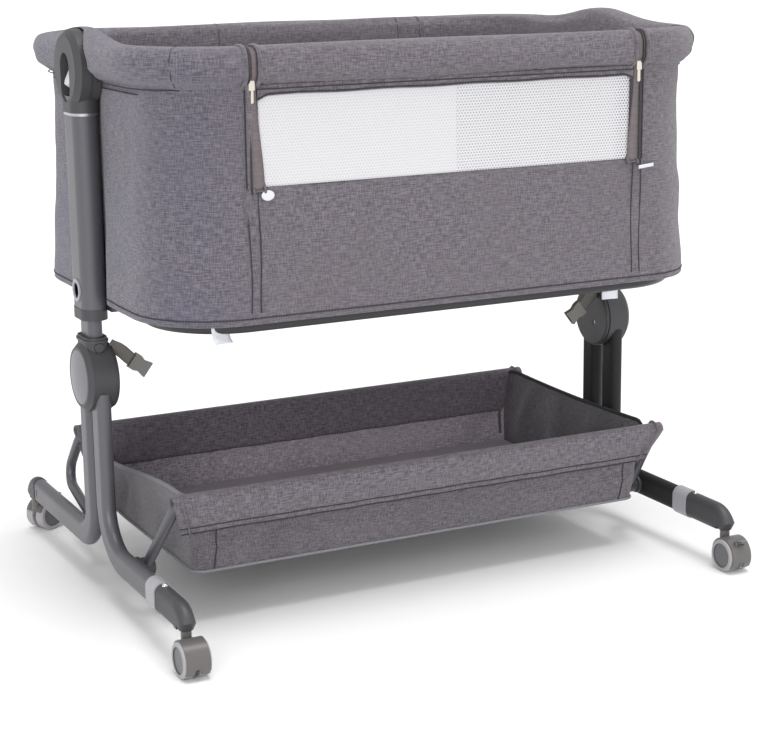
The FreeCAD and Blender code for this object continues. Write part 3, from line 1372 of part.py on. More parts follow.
def caster_wheels():
    axle = across(AXLE_RADIUS, WHEEL_OUTER - 2 * WHEEL_RECESS_DEPTH)
    return [caster_wheel(-1), caster_wheel(1), axle]


def brake_pivot():
    return -TRAIL - BRAKE_PIVOT_OUT, WHEEL_RADIUS + BRAKE_PIVOT_UP


def brake_ears():
    y, z = brake_pivot()
    ears = []
    for sign in (-1, 1):
        start = sign * (BRAKE_WIDE / 2 + FIT)
        ear = rod(BRAKE_BARREL, vec(start, y, z), vec(start + sign * BRAKE_EAR, y, z))
        foot = Part.makeBox(
            BRAKE_EAR, 2 * BRAKE_BARREL, 2 * BRAKE_BARREL,
            vec(min(start, start + sign * BRAKE_EAR), y - BRAKE_BARREL, z - 2 * BRAKE_BARREL),
        )
        foot = foot.cut(across(HOOD_RADIUS - HOOD_SHELL, HOOD_HALF))
        ears.append(joined(ear, foot).cut(across(BRAKE_PIN + AXLE_FIT, HOOD_HALF, y, z)))
    return Part.makeCompound(ears)


def brake_lever():
    """Foot lever over the hood, with its pivot pin."""
    y, z = brake_pivot()
    half = BRAKE_WIDE / 2
    barrel = across(BRAKE_BARREL, half, y, z)
    tip_y = y - BRAKE_REACH
    tip_z = z + BRAKE_RISE
    outline = [
        vec(-half, y, z + BRAKE_THICK), vec(-half, y, z), vec(-half, tip_y, tip_z),
        vec(-half, tip_y + BRAKE_THICK / 2, tip_z + BRAKE_THICK),
    ]
    paddle = Part.Face(Part.makePolygon(outline + outline[:1])).extrude(X_AXIS * BRAKE_WIDE)
    pin = across(BRAKE_PIN, half + BRAKE_EAR, y, z)
    return joined(barrel, paddle, pin)


# ---------------------------------------------------------------- all nodes

def write_base():
    for side_name in SIDES:
        save_side("{}_front_foot_tube", side_name, front_foot_tube())
        save_side("{}_rear_foot_tube", side_name, rear_foot_tube())
        save_side("{}_hub_housing", side_name, hub_housing())
        save_side("{}_inner_post", side_name, inner_post())
        save_side("{}_front_foot_end", side_name, front_foot_end())
        save_side("{}_snap_pin", side_name, snap_pin())
        save_side("{}_front_neck_button", side_name, neck_button(-1))
        save_side("{}_rear_neck_button", side_name, neck_button(1))
    save_pair("hub_inner_covers", hub_inner_cover())
    save_pair("hub_caps", hub_cap())
    save_pair("foot_collars", foot_collar())
    save_pair("rear_foot_ends", rear_foot_end())
    save_pair("frame_screws", cover_screw(), bracket_screw(-1), bracket_screw(1))
    save_pair("basket_brackets", basket_bracket(-1), basket_bracket(1))
    save_pair("bed_straps", bed_strap())
    save_pair("strap_buckles", strap_buckle())
    save("front_basket_tube", basket_tube(-1))
    save("rear_basket_tube", basket_tube(1))
    save("storage_basket", storage_basket())
    save("basket_board", basket_board())


def save_pair(name, *solids):
    """Write a piece and its mirror image as one node."""
    save(name, *[mirrored(solid, side) for side in SIDES.values() for solid in solids])


def write_casters():
    places = {
        "front_left": (-1, -1, 0.0, False),
        "front_right": (1, -1, 0.0, True),
        "rear_left": (-1, 1, REAR_LEFT_SWIVEL, True),
        "rear_right": (1, 1, 180.0, False),
    }
    for name, (x_sign, y_sign, swivel, braked) in places.items():
        frame = caster_frame(x_sign, y_sign, swivel)
        save(name + "_caster_housing", at_caster(caster_hood(braked), frame), at_caster(caster_stem(), frame))
        save(name + "_caster_wheels", *[at_caster(piece, frame) for piece in caster_wheels()])
        if braked:
            save(name + "_caster_brake", at_caster(brake_lever(), frame))


def write_bassinet():
    for side_name in SIDES:
        save_side("{}_outer_post", side_name, outer_post())
        save_side("{}_top_hub", side_name, top_hub())
        save_side("{}_lift_lever", side_name, lift_lever(), pull_rod())
        save_side("{}_zip_slider", side_name, zip_slider())
    save_pair("post_bushes", post_bush())
    save_pair("window_bezels", window_bezel())
    save_pair("post_rings", post_ring())
    save_pair("hub_rivets", hub_rivet())
    save_pair("frame_sockets", frame_socket())
    front_tubes = [mirrored(front_upper_frame(), side) for side in SIDES.values()]
    save("upper_frame_tubes", rear_upper_frame(), *front_tubes)
    save("lower_frame_tubes", lower_frame(-1), lower_frame(1))
    save("bassinet_fabric", bassinet_fabric())
    save("mattress_board", mattress_board())
    save("mattress", mattress())
    save_pair("front_struts", front_strut())
    save("drop_rail", drop_rail())
    save("drop_panel", drop_panel())


def main():
    os.makedirs("parts", exist_ok=True)
    write_base()
    write_casters()
    write_bassinet()


main()
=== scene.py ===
"""Looks of the bedside sleeper crib, laid out as a Blender add-on and run as a script.

Metres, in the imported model's own frame: X along the crib, -Y the bed side, Z up.
"""
import json
import math

import bmesh
import bpy
import numpy as np
from mathutils import Matrix, Vector


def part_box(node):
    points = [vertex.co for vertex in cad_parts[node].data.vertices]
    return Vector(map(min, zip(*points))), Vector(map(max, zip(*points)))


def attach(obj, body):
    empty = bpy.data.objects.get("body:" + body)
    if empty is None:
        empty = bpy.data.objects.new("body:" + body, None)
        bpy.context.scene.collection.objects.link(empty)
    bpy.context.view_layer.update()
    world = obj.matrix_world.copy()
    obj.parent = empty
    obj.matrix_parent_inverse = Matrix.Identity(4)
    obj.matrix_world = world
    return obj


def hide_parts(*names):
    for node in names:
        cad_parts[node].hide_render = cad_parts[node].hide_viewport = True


bl_info = {
    "name": "Bedside sleeper crib",
    "version": (1, 0, 0),
    "blender": (4, 5, 0),
    "location": "3D View > Sidebar > Crib",
    "description": "Fabric, mesh, padding and finishes over the crib's packed frame",
    "category": "Object",
}

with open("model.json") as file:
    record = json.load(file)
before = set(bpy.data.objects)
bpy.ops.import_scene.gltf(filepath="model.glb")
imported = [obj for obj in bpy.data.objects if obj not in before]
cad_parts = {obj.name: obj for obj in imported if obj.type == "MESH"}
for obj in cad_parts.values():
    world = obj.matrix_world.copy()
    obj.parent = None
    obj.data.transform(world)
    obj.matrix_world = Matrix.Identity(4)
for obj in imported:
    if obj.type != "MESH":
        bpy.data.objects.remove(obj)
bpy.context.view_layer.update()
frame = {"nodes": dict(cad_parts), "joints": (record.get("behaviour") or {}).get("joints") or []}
NODES = frame["nodes"]


# ---------------------------------------------------------------- settings

def length(name, about, default):
    return bpy.props.FloatProperty(name=name, description=about, default=default, unit="LENGTH")


def hue(name, about, *default):
    return bpy.props.FloatVectorProperty(
        name=name, description=about, subtype="COLOR", default=default, min=0, max=1)


class CribTubSizes(bpy.types.PropertyGroup):
    """Sizes of the bassinet's fabric."""
    half_length: length("Tub half length", "Middle to the end wall, at the floor", 0.438)
    top_half_length: length("Tub half length at the rim", "Middle to the end wall, under the rim", 0.424)
    half_width: length("Tub half width", "Middle to the long walls", 0.293)
    corner: length("Corner radius", "Radius of the tub's upright corners", 0.120)
    bottom: length("Tub bottom", "Height of the underside", 0.4565)
    window_bottom: length("Window bottom", "Height where the mesh starts", 0.636)
    window_half: length("Window half length", "Middle to the edge of the drop side", 0.296)
    slot_half: length("Zip's outer edge", "Middle to the fixed cloth beside the zip", 0.312)
    rim_bottom: length("Rim bottom", "Height of the seam under the rim", 0.766)
    rim_tall: length("Rim height", "Height of the padded rim", 0.058)
    rim_thick: length("Rim thickness", "Thickness of the padded rim", 0.044)
    rim_peak: length("Rim peak", "How much the rim rises beside the hubs", 0.0175)
    hub_height: length("Hub height", "Height of the top hubs' centres", 0.783)


class CribBasketSizes(bpy.types.PropertyGroup):
    """Sizes of the storage basket's fabric."""
    top: length("Basket top", "Height of the long top edges", 0.2052)
    bottom: length("Basket bottom", "Height of the underside", 0.0795)
    top_half_length: length("Half length at the top", "Middle to the end panels' top edge", 0.389)
    bottom_half_length: length("Half length at the bottom", "Middle to the end panels' foot", 0.3725)
    bottom_half_width: length("Half width at the bottom", "Middle to the long walls' foot", 0.2005)
    tube_y: length("Tube distance", "Middle to the tubes in the long edges", 0.217)
    tube_z: length("Tube height", "Height of the tubes in the long edges", 0.194)


class CribColours(bpy.types.PropertyGroup):
    """Colours a user may change."""
    linen_dark: hue("Linen, dark yarn", "Dark yarn of the melange cloth", 0.041, 0.037, 0.045)
    linen_light: hue("Linen, light yarn", "Light yarn of the melange cloth", 0.232, 0.206, 0.240)
    tube: hue("Tube coat", "Powder coat of the posts and feet", 0.100, 0.099, 0.113)
    plastic: hue("Dark plastic", "Charcoal moulded parts", 0.057, 0.056, 0.062)
    light_plastic: hue("Light plastic", "Collars and bezels", 0.345, 0.345, 0.365)
    mesh: hue("Window mesh", "White net of the window", 0.575, 0.57, 0.59)
    tape: hue("Zip tape", "Taupe tape beside the zips", 0.135, 0.112, 0.118)


SETTINGS = {"crib_tub": CribTubSizes, "crib_basket": CribBasketSizes, "crib_colours": CribColours}


# ---------------------------------------------------------------- shader maths

class Value:
    """A socket that takes part in arithmetic; each operator adds its Math node."""

    def __init__(self, book, socket):
        self.book, self.socket = book, socket

    def _math(self, operation, *values):
        return self.book.node("ShaderNodeMath", {"operation": operation}, list(values))[0]

    def __add__(self, other):
        return self._math("ADD", self, other)

    def __sub__(self, other):
        return self._math("SUBTRACT", self, other)

    def __rsub__(self, other):
        return self._math("SUBTRACT", other, self)

    def __mul__(self, other):
        return self._math("MULTIPLY", self, other)

    def __truediv__(self, other):
        return self._math("DIVIDE", self, other)

    __radd__, __rmul__ = __add__, __mul__

    def wave(self, pitch):
        """Sine of the value with the given wave length."""
        return self._math("SINE", self * (2 * math.pi / pitch))

    def fract(self):
        return self._math("FRACT", self)

    def floor(self):
        return self._math("FLOOR", self)

    def modulo(self, other):
        return self._math("FLOORED_MODULO", self, other)

    def abs(self):
        return self._math("ABSOLUTE", self)

    def root(self):
        return self._math("SQRT", self)

    def below(self, other):
        return self._math("LESS_THAN", self, other)

    def step(self, low, high, out_low=0.0, out_high=1.0):
        """Smooth ramp from out_low to out_high between low and high."""
        return self.book.node(
            "ShaderNodeMapRange", {"interpolation_type": "SMOOTHSTEP"},
            {"Value": self, "From Min": low, "From Max": high, "To Min": out_low, "To Max": out_high})[0]


class Book:
    """The node tree of one material, with short names for the nodes that it uses."""

    def __init__(self, name):
        self.material = bpy.data.materials.new(name)
        self.material.use_nodes = True
        self.tree = self.material.node_tree
        self.shader = self.tree.nodes["Principled BSDF"]
        self.output = self.tree.nodes["Material Output"]

    def node(self, kind, settings=None, values=None):
        made = self.tree.nodes.new(kind)
        for key, value in (settings or {}).items():
            setattr(made, key, value)
        pairs = values.items() if isinstance(values, dict) else enumerate(values or [])
        for key, value in pairs:
            self.put(made.inputs[key], value)
        return [Value(self, socket) for socket in made.outputs]

    def put(self, socket, value):
        if isinstance(value, Value):
            self.tree.links.new(value.socket, socket)
        else:
            socket.default_value = value

    def place(self):
        return self.node("ShaderNodeTexCoord")[3]

    def cloth(self):
        """The piece's own cloth coordinates, in metres along and across."""
        return self.parts(self.node("ShaderNodeUVMap", {"uv_map": "cloth"})[0])[:2]

    def parts(self, vector):
        return self.node("ShaderNodeSeparateXYZ", None, [vector])

    def joined(self, x=0.0, y=0.0, z=0.0):
        return self.node("ShaderNodeCombineXYZ", None, [x, y, z])[0]

    def noise(self, vector, scale, detail=2.0, rough=0.5):
        return self.node(
            "ShaderNodeTexNoise", None,
            {"Vector": vector, "Scale": scale, "Detail": detail, "Roughness": rough})[0]

    def mix(self, factor, low, high):
        made = self.tree.nodes.new("ShaderNodeMix")
        made.data_type = "RGBA"
        self.put(made.inputs[0], factor)
        for socket, colour in ((made.inputs[6], low), (made.inputs[7], high)):
            self.put(socket, colour if isinstance(colour, Value) else rgba(colour))
        return Value(self, made.outputs[2])

    def bump(self, height, depth, strength=1.0):
        return self.node(
            "ShaderNodeBump", None, {"Strength": strength, "Distance": depth, "Height": height})[0]

    def set(self, **sockets):
        for name, value in sockets.items():
            self.put(self.shader.inputs[name.replace("_", " ")], value)
        return self.material


def rgba(colour):
    return tuple(colour)[:3] + (1.0,)


def colours():
    return bpy.context.scene.crib_colours


made_materials = {}


def material(maker):
    """Each finish is made once."""
    def get(*args):
        key = (maker.__name__,) + args
        if key not in made_materials:
            made_materials[key] = maker(*args)
        return made_materials[key]
    return get


# Copies of the melange cloth: tint, share of the tint, and gain of the light yarn. Warm is the cloth's own colour;
# the other copies carry painted light and painted shade, as marked.
LINENS = {
    "warm": ((0.130, 0.112, 0.128), 0.30, 1.0),
    # Copy for the tub, rim and piping, with a painted bluish light on the left end.
    "cool": ((0.094, 0.094, 0.150), 0.42, 1.0),
    # Lighter copy, painted light: the light yarn gained up for the inside of the basket under the tub.
    "bright": ((0.420, 0.370, 0.410), 0.40, 2.2),
    # Darker copy, painted shade: the basket's outer walls under the tub.
    "deep": ((0.060, 0.054, 0.060), 0.42, 1.0),
    # Darkest copy, painted shade: inside the basket's right end panel and on the floors under the tub and basket.
    "dark": ((0.045, 0.043, 0.046), 0.70, 1.0),
}


@material
def melange_linen(shade):
    """Two-yarn plain weave: stretched flecks along weft and warp, fine grid bump, faint large clouds.

    One copy is the same cloth made lighter, painted light, for the inside of the basket under the tub; two are
    made darker, painted shade; and the copy for the tub, rim and piping carries a painted bluish light on the left
    end, turning warm towards the right.
    """
    b = Book("melange_linen_" + shade)
    tint, part, gain = LINENS[shade]
    u, v = b.cloth()
    weft = b.noise(b.joined(u * 75.0, v * 620.0), 1.0, 2.0, 0.5)
    warp = b.noise(b.joined(u * 620.0, v * 85.0, 7.0), 1.0, 2.0, 0.5)
    slub = b.noise(b.joined(u * 42.0, v * 420.0, 3.0), 1.0, 2.0, 0.5)
    cloud = b.noise(b.joined(u * 6.0, v * 6.0, 11.0), 1.0, 2.0, 0.5)
    fleck = weft.step(0.40, 0.62) * 0.52 + warp.step(0.40, 0.62) * 0.48
    mixed = fleck * 0.82 + slub.step(0.38, 0.62) * 0.18
    colour = b.mix(mixed, colours().linen_dark, [min(c * gain, 1.0) for c in colours().linen_light])
    # Painted light: a bluish cast on the left end, fading to the warm tint towards the right.
    if shade == "cool":
        tint = b.mix(b.parts(b.place())[0].step(-0.42, -0.26), tint, (0.128, 0.111, 0.127))
    colour = b.mix(cloud.step(0.3, 0.7) * part * 0.6 + part * 0.5, colour, tint)
    thread = 0.00085
    relief = u.wave(thread) * v.wave(thread) * 0.5 + mixed * 0.8
    return b.set(
        Base_Color=colour, Roughness=0.88, Normal=b.bump(relief, 0.00035, 0.55),
        Sheen_Weight=0.25, Sheen_Roughness=0.5)


@material
def window_net():
    """White net: round holes in staggered rows, a denser doubled layer at one end, holes painted dark as painted
    shade seen through them, darkest at the far edge, and a faint glow of painted light.
    """
    b = Book("window_net")
    u, v = b.cloth()
    pitch, row_pitch, seam_at = 0.0046, 0.866, 0.302
    row = v / (pitch * row_pitch)
    x = (u / pitch + row.floor().modulo(2.0) * 0.5).fract() - 0.5
    y = (row.fract() - 0.5) * row_pitch
    hole = (x * x + y * y).root().step(0.17, 0.33, 1.0, 0.0)
    doubled = u.step(seam_at - 0.002, seam_at + 0.002, 1.0, 0.0)
    edge = u.step(0.555, 0.580, 0.0, 1.0)
    hole_shade_noise = b.noise(b.joined(u * 9.0, v * 9.0), 1.0, 2.0)
    # Painted shade in the holes: how dark they look, more at the far edge, less where the net is doubled, varied
    # by noise.
    depth = 0.20 + 0.45 * edge - 0.13 * doubled + (hole_shade_noise - 0.5) * 0.14
    colour = b.mix(hole * (depth + 0.12 * (1 - doubled)), colours().mesh, (0.12, 0.11, 0.14))
    seam = (u - seam_at).abs().below(0.0008) * (v / 0.006).fract().below(0.55)
    colour = b.mix(seam * 0.35, colour, (0.30, 0.30, 0.33))
    # The net glows faintly in its own colour by emission: painted light.
    return b.set(
        Base_Color=colour, Roughness=0.55, Alpha=1 - hole * (0.34 - 0.22 * doubled + 0.30 * edge),
        Normal=b.bump(1 - hole, 0.0005, 0.6), Emission_Color=rgba(colours().mesh), Emission_Strength=0.10)


@material
def cover_cloth():
    """White knitted mattress cover with a fine rib."""
    b = Book("cover_cloth")
    u, v = b.cloth()
    knit = u.wave(0.0022) * v.wave(0.0016)
    soft = b.noise(b.joined(u * 14.0, v * 14.0), 1.0, 3.0)
    colour = b.mix(soft, (0.62, 0.62, 0.63), (0.72, 0.72, 0.72))
    return b.set(
        Base_Color=colour, Roughness=0.8, Normal=b.bump(knit + soft * 2.0, 0.0004, 0.5), Sheen_Weight=0.2)


@material
def seam_thread():
    """Dark stitches with a short gap between them, on cloth coordinates along the seam."""
    b = Book("seam_thread")
    stitch = (b.cloth()[0] / 0.0042).fract().step(0.70, 0.80, 1.0, 0.0)
    colour = b.mix(stitch, (0.075, 0.069, 0.080), (0.022, 0.020, 0.026))
    return b.set(Base_Color=colour, Roughness=0.85, Normal=b.bump(stitch, 0.0004, 0.6))


@material
def piping_cloth():
    """Lighter bias-cut piping."""
    b = Book("piping_cloth")
    u, v = b.cloth()
    fleck = b.noise(b.joined(u * 900.0, v * 900.0), 1.0, 2.0, 0.6)
    colour = b.mix(fleck.step(0.35, 0.65), (0.150, 0.148, 0.165), (0.300, 0.295, 0.320))
    return b.set(Base_Color=colour, Roughness=0.85, Normal=b.bump((u + v).wave(0.0010) + fleck, 0.0003, 0.5))


@material
def binding_tape():
    """Black woven binding."""
    b = Book("binding_tape")
    u, v = b.cloth()
    fleck = b.noise(b.joined(u * 500.0, v * 500.0), 1.0, 2.0)
    colour = b.mix(fleck, (0.010, 0.010, 0.012), (0.030, 0.029, 0.032))
    return b.set(Base_Color=colour, Roughness=0.7, Normal=b.bump(u.wave(0.0011) + fleck, 0.0003, 0.6))


@material
def zip_tape():
    """Taupe woven tape with a herringbone rib."""
    b = Book("zip_tape")
    u, v = b.cloth()
    rib = (v + u.abs() * 0.6).wave(0.0016)
    soft = b.noise(b.joined(u * 300.0, v * 90.0), 1.0, 2.0)
    colour = b.mix(soft.step(0.3, 0.7) * 0.5 + rib * 0.12, colours().tape, (0.195, 0.163, 0.170))
    return b.set(Base_Color=colour, Roughness=0.75, Normal=b.bump(rib + soft, 0.0003, 0.6))


@material
def zip_teeth():
    """Dark spiral of a closed zip: even ribs along it."""
    b = Book("zip_teeth")
    rib = b.cloth()[0].wave(0.0018)
    colour = b.mix(rib * 0.5 + 0.5, (0.014, 0.013, 0.014), (0.060, 0.056, 0.056))
    return b.set(Base_Color=colour, Roughness=0.45, Normal=b.bump(rib, 0.0005, 0.8))


@material
def webbing():
    """Grey-olive woven band with a chevron rib."""
    b = Book("webbing")
    u, v = b.cloth()
    rib = (u + (v / 0.004).fract() * 0.002).wave(0.0024)
    colour = b.mix(rib * 0.4 + 0.5, (0.115, 0.108, 0.098), (0.215, 0.203, 0.186))
    return b.set(Base_Color=colour, Roughness=0.8, Normal=b.bump(rib, 0.0005, 0.7))


@material
def label_ribbon():
    """Blank white satin ribbon."""
    b = Book("label_ribbon")
    u, v = b.cloth()
    soft = b.noise(b.joined(u * 40.0, v * 40.0), 1.0, 2.0)
    colour = b.mix(soft, (0.58, 0.60, 0.64), (0.74, 0.75, 0.78))
    return b.set(Base_Color=colour, Roughness=0.45, Normal=b.bump(v.wave(0.0009) + soft, 0.0002, 0.4))


# Powder coats: colour, or its name in the settings, darker specks, their share, roughness, clear coat.
COATS = {
    "grey_tube": ("tube", (0.085, 0.086, 0.098), 0.35, 0.36, 0.25),
    # Darker copy of the tube coat: painted shade on the right inner post and feet, which sit under the tub.
    "dark_tube": ((0.016, 0.016, 0.018), (0.008, 0.008, 0.009), 0.35, 0.60, 0.04),
    "black_tube": ((0.018, 0.018, 0.021), (0.007, 0.007, 0.009), 0.30, 0.30, 0.25),
}

# Mouldings and boards: colour, or its name in the settings, second colour, roughness, grain, depth, clear coat.
MOULDINGS = {
    "dark_plastic": ("plastic", (0.040, 0.040, 0.045), 0.42, 1500.0, 0.00012, 0.0),
    "light_plastic": ("light_plastic", (0.33, 0.33, 0.355), 0.36, 1200.0, 0.00006, 0.15),
    "cap_plastic": ((0.150, 0.152, 0.172), (0.125, 0.127, 0.145), 0.34, 1200.0, 0.00006, 0.2),
    "hood_plastic": ((0.130, 0.122, 0.117), (0.088, 0.083, 0.080), 0.26, 900.0, 0.00005, 0.3),
    "buckle_plastic": ((0.175, 0.168, 0.155), (0.110, 0.106, 0.098), 0.30, 900.0, 0.00005, 0.3),
    # White of the snap; the lift levers take it too, as painted light.
    "button_plastic": ((0.70, 0.70, 0.73), (0.62, 0.62, 0.66), 0.3, 900.0, 0.00004, 0.3),
    "stiff_board": ((0.030, 0.030, 0.032), (0.015, 0.015, 0.016), 0.6, 500.0, 0.0002, 0.0),
    "board_cloth": ((0.400, 0.355, 0.390), (0.230, 0.205, 0.225), 0.85, 420.0, 0.0003, 0.0),
    "sleeve_cloth": ((0.150, 0.134, 0.150), (0.090, 0.080, 0.090), 0.85, 420.0, 0.0003, 0.0),
    "floor": ((0.90, 0.90, 0.90), (0.88, 0.88, 0.88), 0.8, 40.0, 0.00002, 0.0),
}

# Bare metals: colour, second colour, roughness, hair lines per metre.
METALS = {
    "chrome": ((0.80, 0.80, 0.82), (0.70, 0.70, 0.73), 0.08, 500.0),
    "screw_steel": ((0.55, 0.55, 0.57), (0.40, 0.40, 0.42), 0.28, 1500.0),
    "nickel": ((0.80, 0.75, 0.66), (0.62, 0.57, 0.49), 0.25, 1200.0),
}


def named(colour):
    return getattr(colours(), colour) if isinstance(colour, str) else colour


@material
def coated(name):
    """Powder coat: fine orange peel, darker specks and soft clouds."""
    colour, dark, sparkle, rough, coat = COATS[name]
    b = Book(name)
    place = b.place()
    peel = b.noise(place, 900.0, 3.0, 0.6)
    speck = b.noise(place, 2600.0, 1.0)
    cloud = b.noise(place, 14.0, 3.0)
    mixed = b.mix(speck.step(0.35, 0.65) * sparkle + cloud * 0.25, named(colour), dark)
    return b.set(
        Base_Color=mixed, Roughness=cloud * 0.12 + rough, Metallic=0.25,
        Normal=b.bump(peel, 0.00012, 0.5), Coat_Weight=coat, Coat_Roughness=0.35)


@material
def moulded(name):
    """Moulded or cloth-covered board: a fine grain, softly uneven gloss."""
    colour, other, rough, grain, depth, coat = MOULDINGS[name]
    b = Book(name)
    place = b.place()
    fine = b.noise(place, grain, 3.0, 0.65)
    cloud = b.noise(place, 18.0, 3.0)
    mixed = b.mix(fine * 0.35 + cloud * 0.5, named(colour), other)
    return b.set(
        Base_Color=mixed, Roughness=cloud * 0.14 + rough, Normal=b.bump(fine, depth, 0.6),
        Coat_Weight=coat, Coat_Roughness=0.3)


@material
def metal(name):
    """Bare metal: hair lines of a brush and cloudy roughness."""
    colour, other, rough, brush = METALS[name]
    b = Book(name)
    x, y, z = b.parts(b.place())
    hair = b.noise(b.joined(x * brush, y * brush, z * 60.0), 1.0, 2.0)
    cloud = b.noise(b.place(), 40.0, 2.0)
    return b.set(
        Base_Color=b.mix(hair * 0.6 + cloud * 0.3, colour, other), Metallic=1.0,
        Roughness=cloud * 0.12 + rough, Normal=b.bump(hair, 0.00003, 0.4))


@material
def wheel_disc():
    """Caster wheel: mid-grey disc inside a lighter tread, told apart by their distance from the axle."""
    b = Book("wheel_disc")
    far = b.cloth()[1]
    fine = b.noise(b.place(), 1400.0, 2.0)
    tread = far.step(0.0186, 0.0192)
    line = far.step(0.0178, 0.0184) * far.step(0.0188, 0.0194, 1.0, 0.0)
    disc = b.mix(fine, (0.100, 0.098, 0.108), (0.140, 0.136, 0.150))
    ring = b.mix(fine, (0.31, 0.30, 0.31), (0.38, 0.37, 0.38))
    colour = b.mix(line * 0.7, b.mix(tread, disc, ring), (0.05, 0.05, 0.055))
    return b.set(Base_Color=colour, Roughness=tread * 0.2 + 0.35, Normal=b.bump(fine, 0.00005, 0.5))


# ---------------------------------------------------------------- mesh helpers

def mesh_piece(name, points, faces, finish, uvs=None, smooth=True):
    """An object at the origin from arrays of points, quads and one cloth coordinate per face corner."""
    used, faces_new = np.unique(faces, return_inverse=True)
    faces_new = faces_new.reshape(faces.shape)
    data = bpy.data.meshes.new(name)
    data.from_pydata(points[used].tolist(), [], faces_new.tolist())
    data.polygons.foreach_set("use_smooth", np.full(len(data.polygons), smooth))
    if uvs is not None:
        layer = data.uv_layers.new(name="cloth")
        layer.data.foreach_set("uv", np.ascontiguousarray(uvs, np.float32).ravel())
    data.materials.append(finish)
    data.update()
    piece = bpy.data.objects.new(name, data)
    bpy.context.scene.collection.objects.link(piece)
    return piece


def grid_piece(name, points, finish, uv, wrap=(False, False), keep=None, out=None):
    """A grid of points (rows, columns, 3) as quads. uv has one more row or column where the grid wraps.

    Faces point along out, or without it away from the middle: the sum of (face middle - mean) . face area.
    """
    rows, cols = points.shape[:2]
    i, j = np.meshgrid(
        np.arange(rows if wrap[0] else rows - 1), np.arange(cols if wrap[1] else cols - 1), indexing="ij")
    i, j = (i.ravel(), j.ravel()) if keep is None else (i[keep], j[keep])
    ci = np.stack([i, i + 1, i + 1, i], -1)
    cj = np.stack([j, j, j + 1, j + 1], -1)
    flat = points.reshape(-1, 3)
    faces = (ci % rows) * cols + cj % cols
    quad = flat[faces]
    area = np.cross(quad[:, 2] - quad[:, 0], quad[:, 3] - quad[:, 1])
    middle = quad.mean(1)
    away = middle - middle.mean(0) if out is None else np.array(out, float)
    if (area * away).sum() < 0:
        faces, ci, cj = faces[:, ::-1], ci[:, ::-1], cj[:, ::-1]
    return mesh_piece(name, flat, faces, finish, uv[ci, cj])


def join(name, pieces):
    """Several pieces with the same finish as one object."""
    for other in bpy.context.selected_objects:
        other.select_set(False)
    for piece in pieces:
        piece.select_set(True)
    bpy.context.view_layer.objects.active = pieces[0]
    bpy.ops.object.join()
    pieces[0].name = name
    return pieces[0]


def arc_length(points):
    """Distance along a path of points, from its start."""
    steps = np.linalg.norm(np.diff(points, axis=0), axis=1)
    return np.concatenate([[0.0], np.cumsum(steps)])


def frames_along(path, up, closed):
    """Unit side and top directions along a path, with the top kept near up."""
    tangent = np.roll(path, -1, 0) - np.roll(path, 1, 0) if closed else np.gradient(path, axis=0)
    tangent /= np.linalg.norm(tangent, axis=1, keepdims=True)
    side = np.cross(tangent, up)
    side /= np.linalg.norm(side, axis=1, keepdims=True)
    return side, np.cross(side, tangent)


def swept(name, path, outline, finish, up=(0, 0, 1), closed=False, capped=True):
    """Carry a closed outline of (side, top) offsets along a path."""
    side, top = frames_along(path, np.broadcast_to(np.array(up, float), path.shape), closed)
    if outline.ndim == 2:
        outline = np.broadcast_to(outline, (len(path),) + outline.shape)
    points = path[:, None] + side[:, None] * outline[:, :, :1] + top[:, None] * outline[:, :, 1:]
    if capped and not closed:
        points = np.concatenate([
            np.broadcast_to(points[:1].mean(1, keepdims=True), points[:1].shape), points,
            np.broadcast_to(points[-1:].mean(1, keepdims=True), points[-1:].shape)])
    along = arc_length(points.mean(1))
    ring = outline[len(outline) // 2]
    across = arc_length(np.concatenate([ring, ring[:1]]))
    if closed:
        along = np.concatenate([along, along[-1:] + np.linalg.norm(path[0] - path[-1])])
    uv = np.stack(np.meshgrid(along, across, indexing="ij"), -1)
    return grid_piece(name, points, finish, uv, (closed, True))


def ellipse(wide, tall, count=12):
    """Outline of an ellipse with half axes wide and tall."""
    t = np.linspace(0, 2 * math.pi, count, endpoint=False)
    return np.stack([wide * np.cos(t), tall * np.sin(t)], -1)


def wavy(u, v, seed, size, count=6):
    """Smooth seeded unevenness: a sum of a few sine waves over two coordinates, in -1 to 1 times size."""
    dice = np.random.default_rng(seed)
    total = np.zeros(np.broadcast(u, v).shape)
    for _ in range(count):
        fu, fv = dice.uniform(4, 22, 2)
        p, q = dice.uniform(0, 2 * math.pi, 2)
        total = total + np.sin(fu * u + p) * np.sin(fv * v + q)
    return size * total / math.sqrt(count)


def smooth(t, low, high):
    t = np.clip((t - low) / (high - low), 0, 1)
    return t * t * (3 - 2 * t)


def solid(piece, thickness, offset=-1.0):
    """Give a cloth surface its thickness: inwards, or to both sides with an offset of zero."""
    shell = piece.modifiers.new("thickness", "SOLIDIFY")
    shell.thickness = thickness
    shell.offset = offset
    shell.use_rim = True
    return piece


def dress(piece, body):
    """Let a piece move with a body."""
    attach(piece, body)
    return piece


def sewn(name, pieces, body):
    """Pieces of one finish as one dressed object."""
    return dress(join(name, pieces), body)


def stitches(line, wide, tall, sides=8, **how):
    """The thread of a seam, laid along a path."""
    return swept("seam", line, ellipse(wide, tall, sides), seam_thread(), **how)


def floor_cloth(name, foot, shares, height, **how):
    """Cloth in the darkest copy, painted shade under the piece, that closes a ring of points, drawn in by shares
    to its middle.
    """
    rows = [foot * np.array([k, k, 0]) + np.array([0, 0, height]) for k in shares]
    floor = np.stack(rows + [foot])
    uv = np.concatenate([floor[..., :2], floor[:, :1, :2]], 1)
    return grid_piece(name, floor, melange_linen("dark"), uv, (False, True), **how)


# ---------------------------------------------------------------- the bassinet's plan

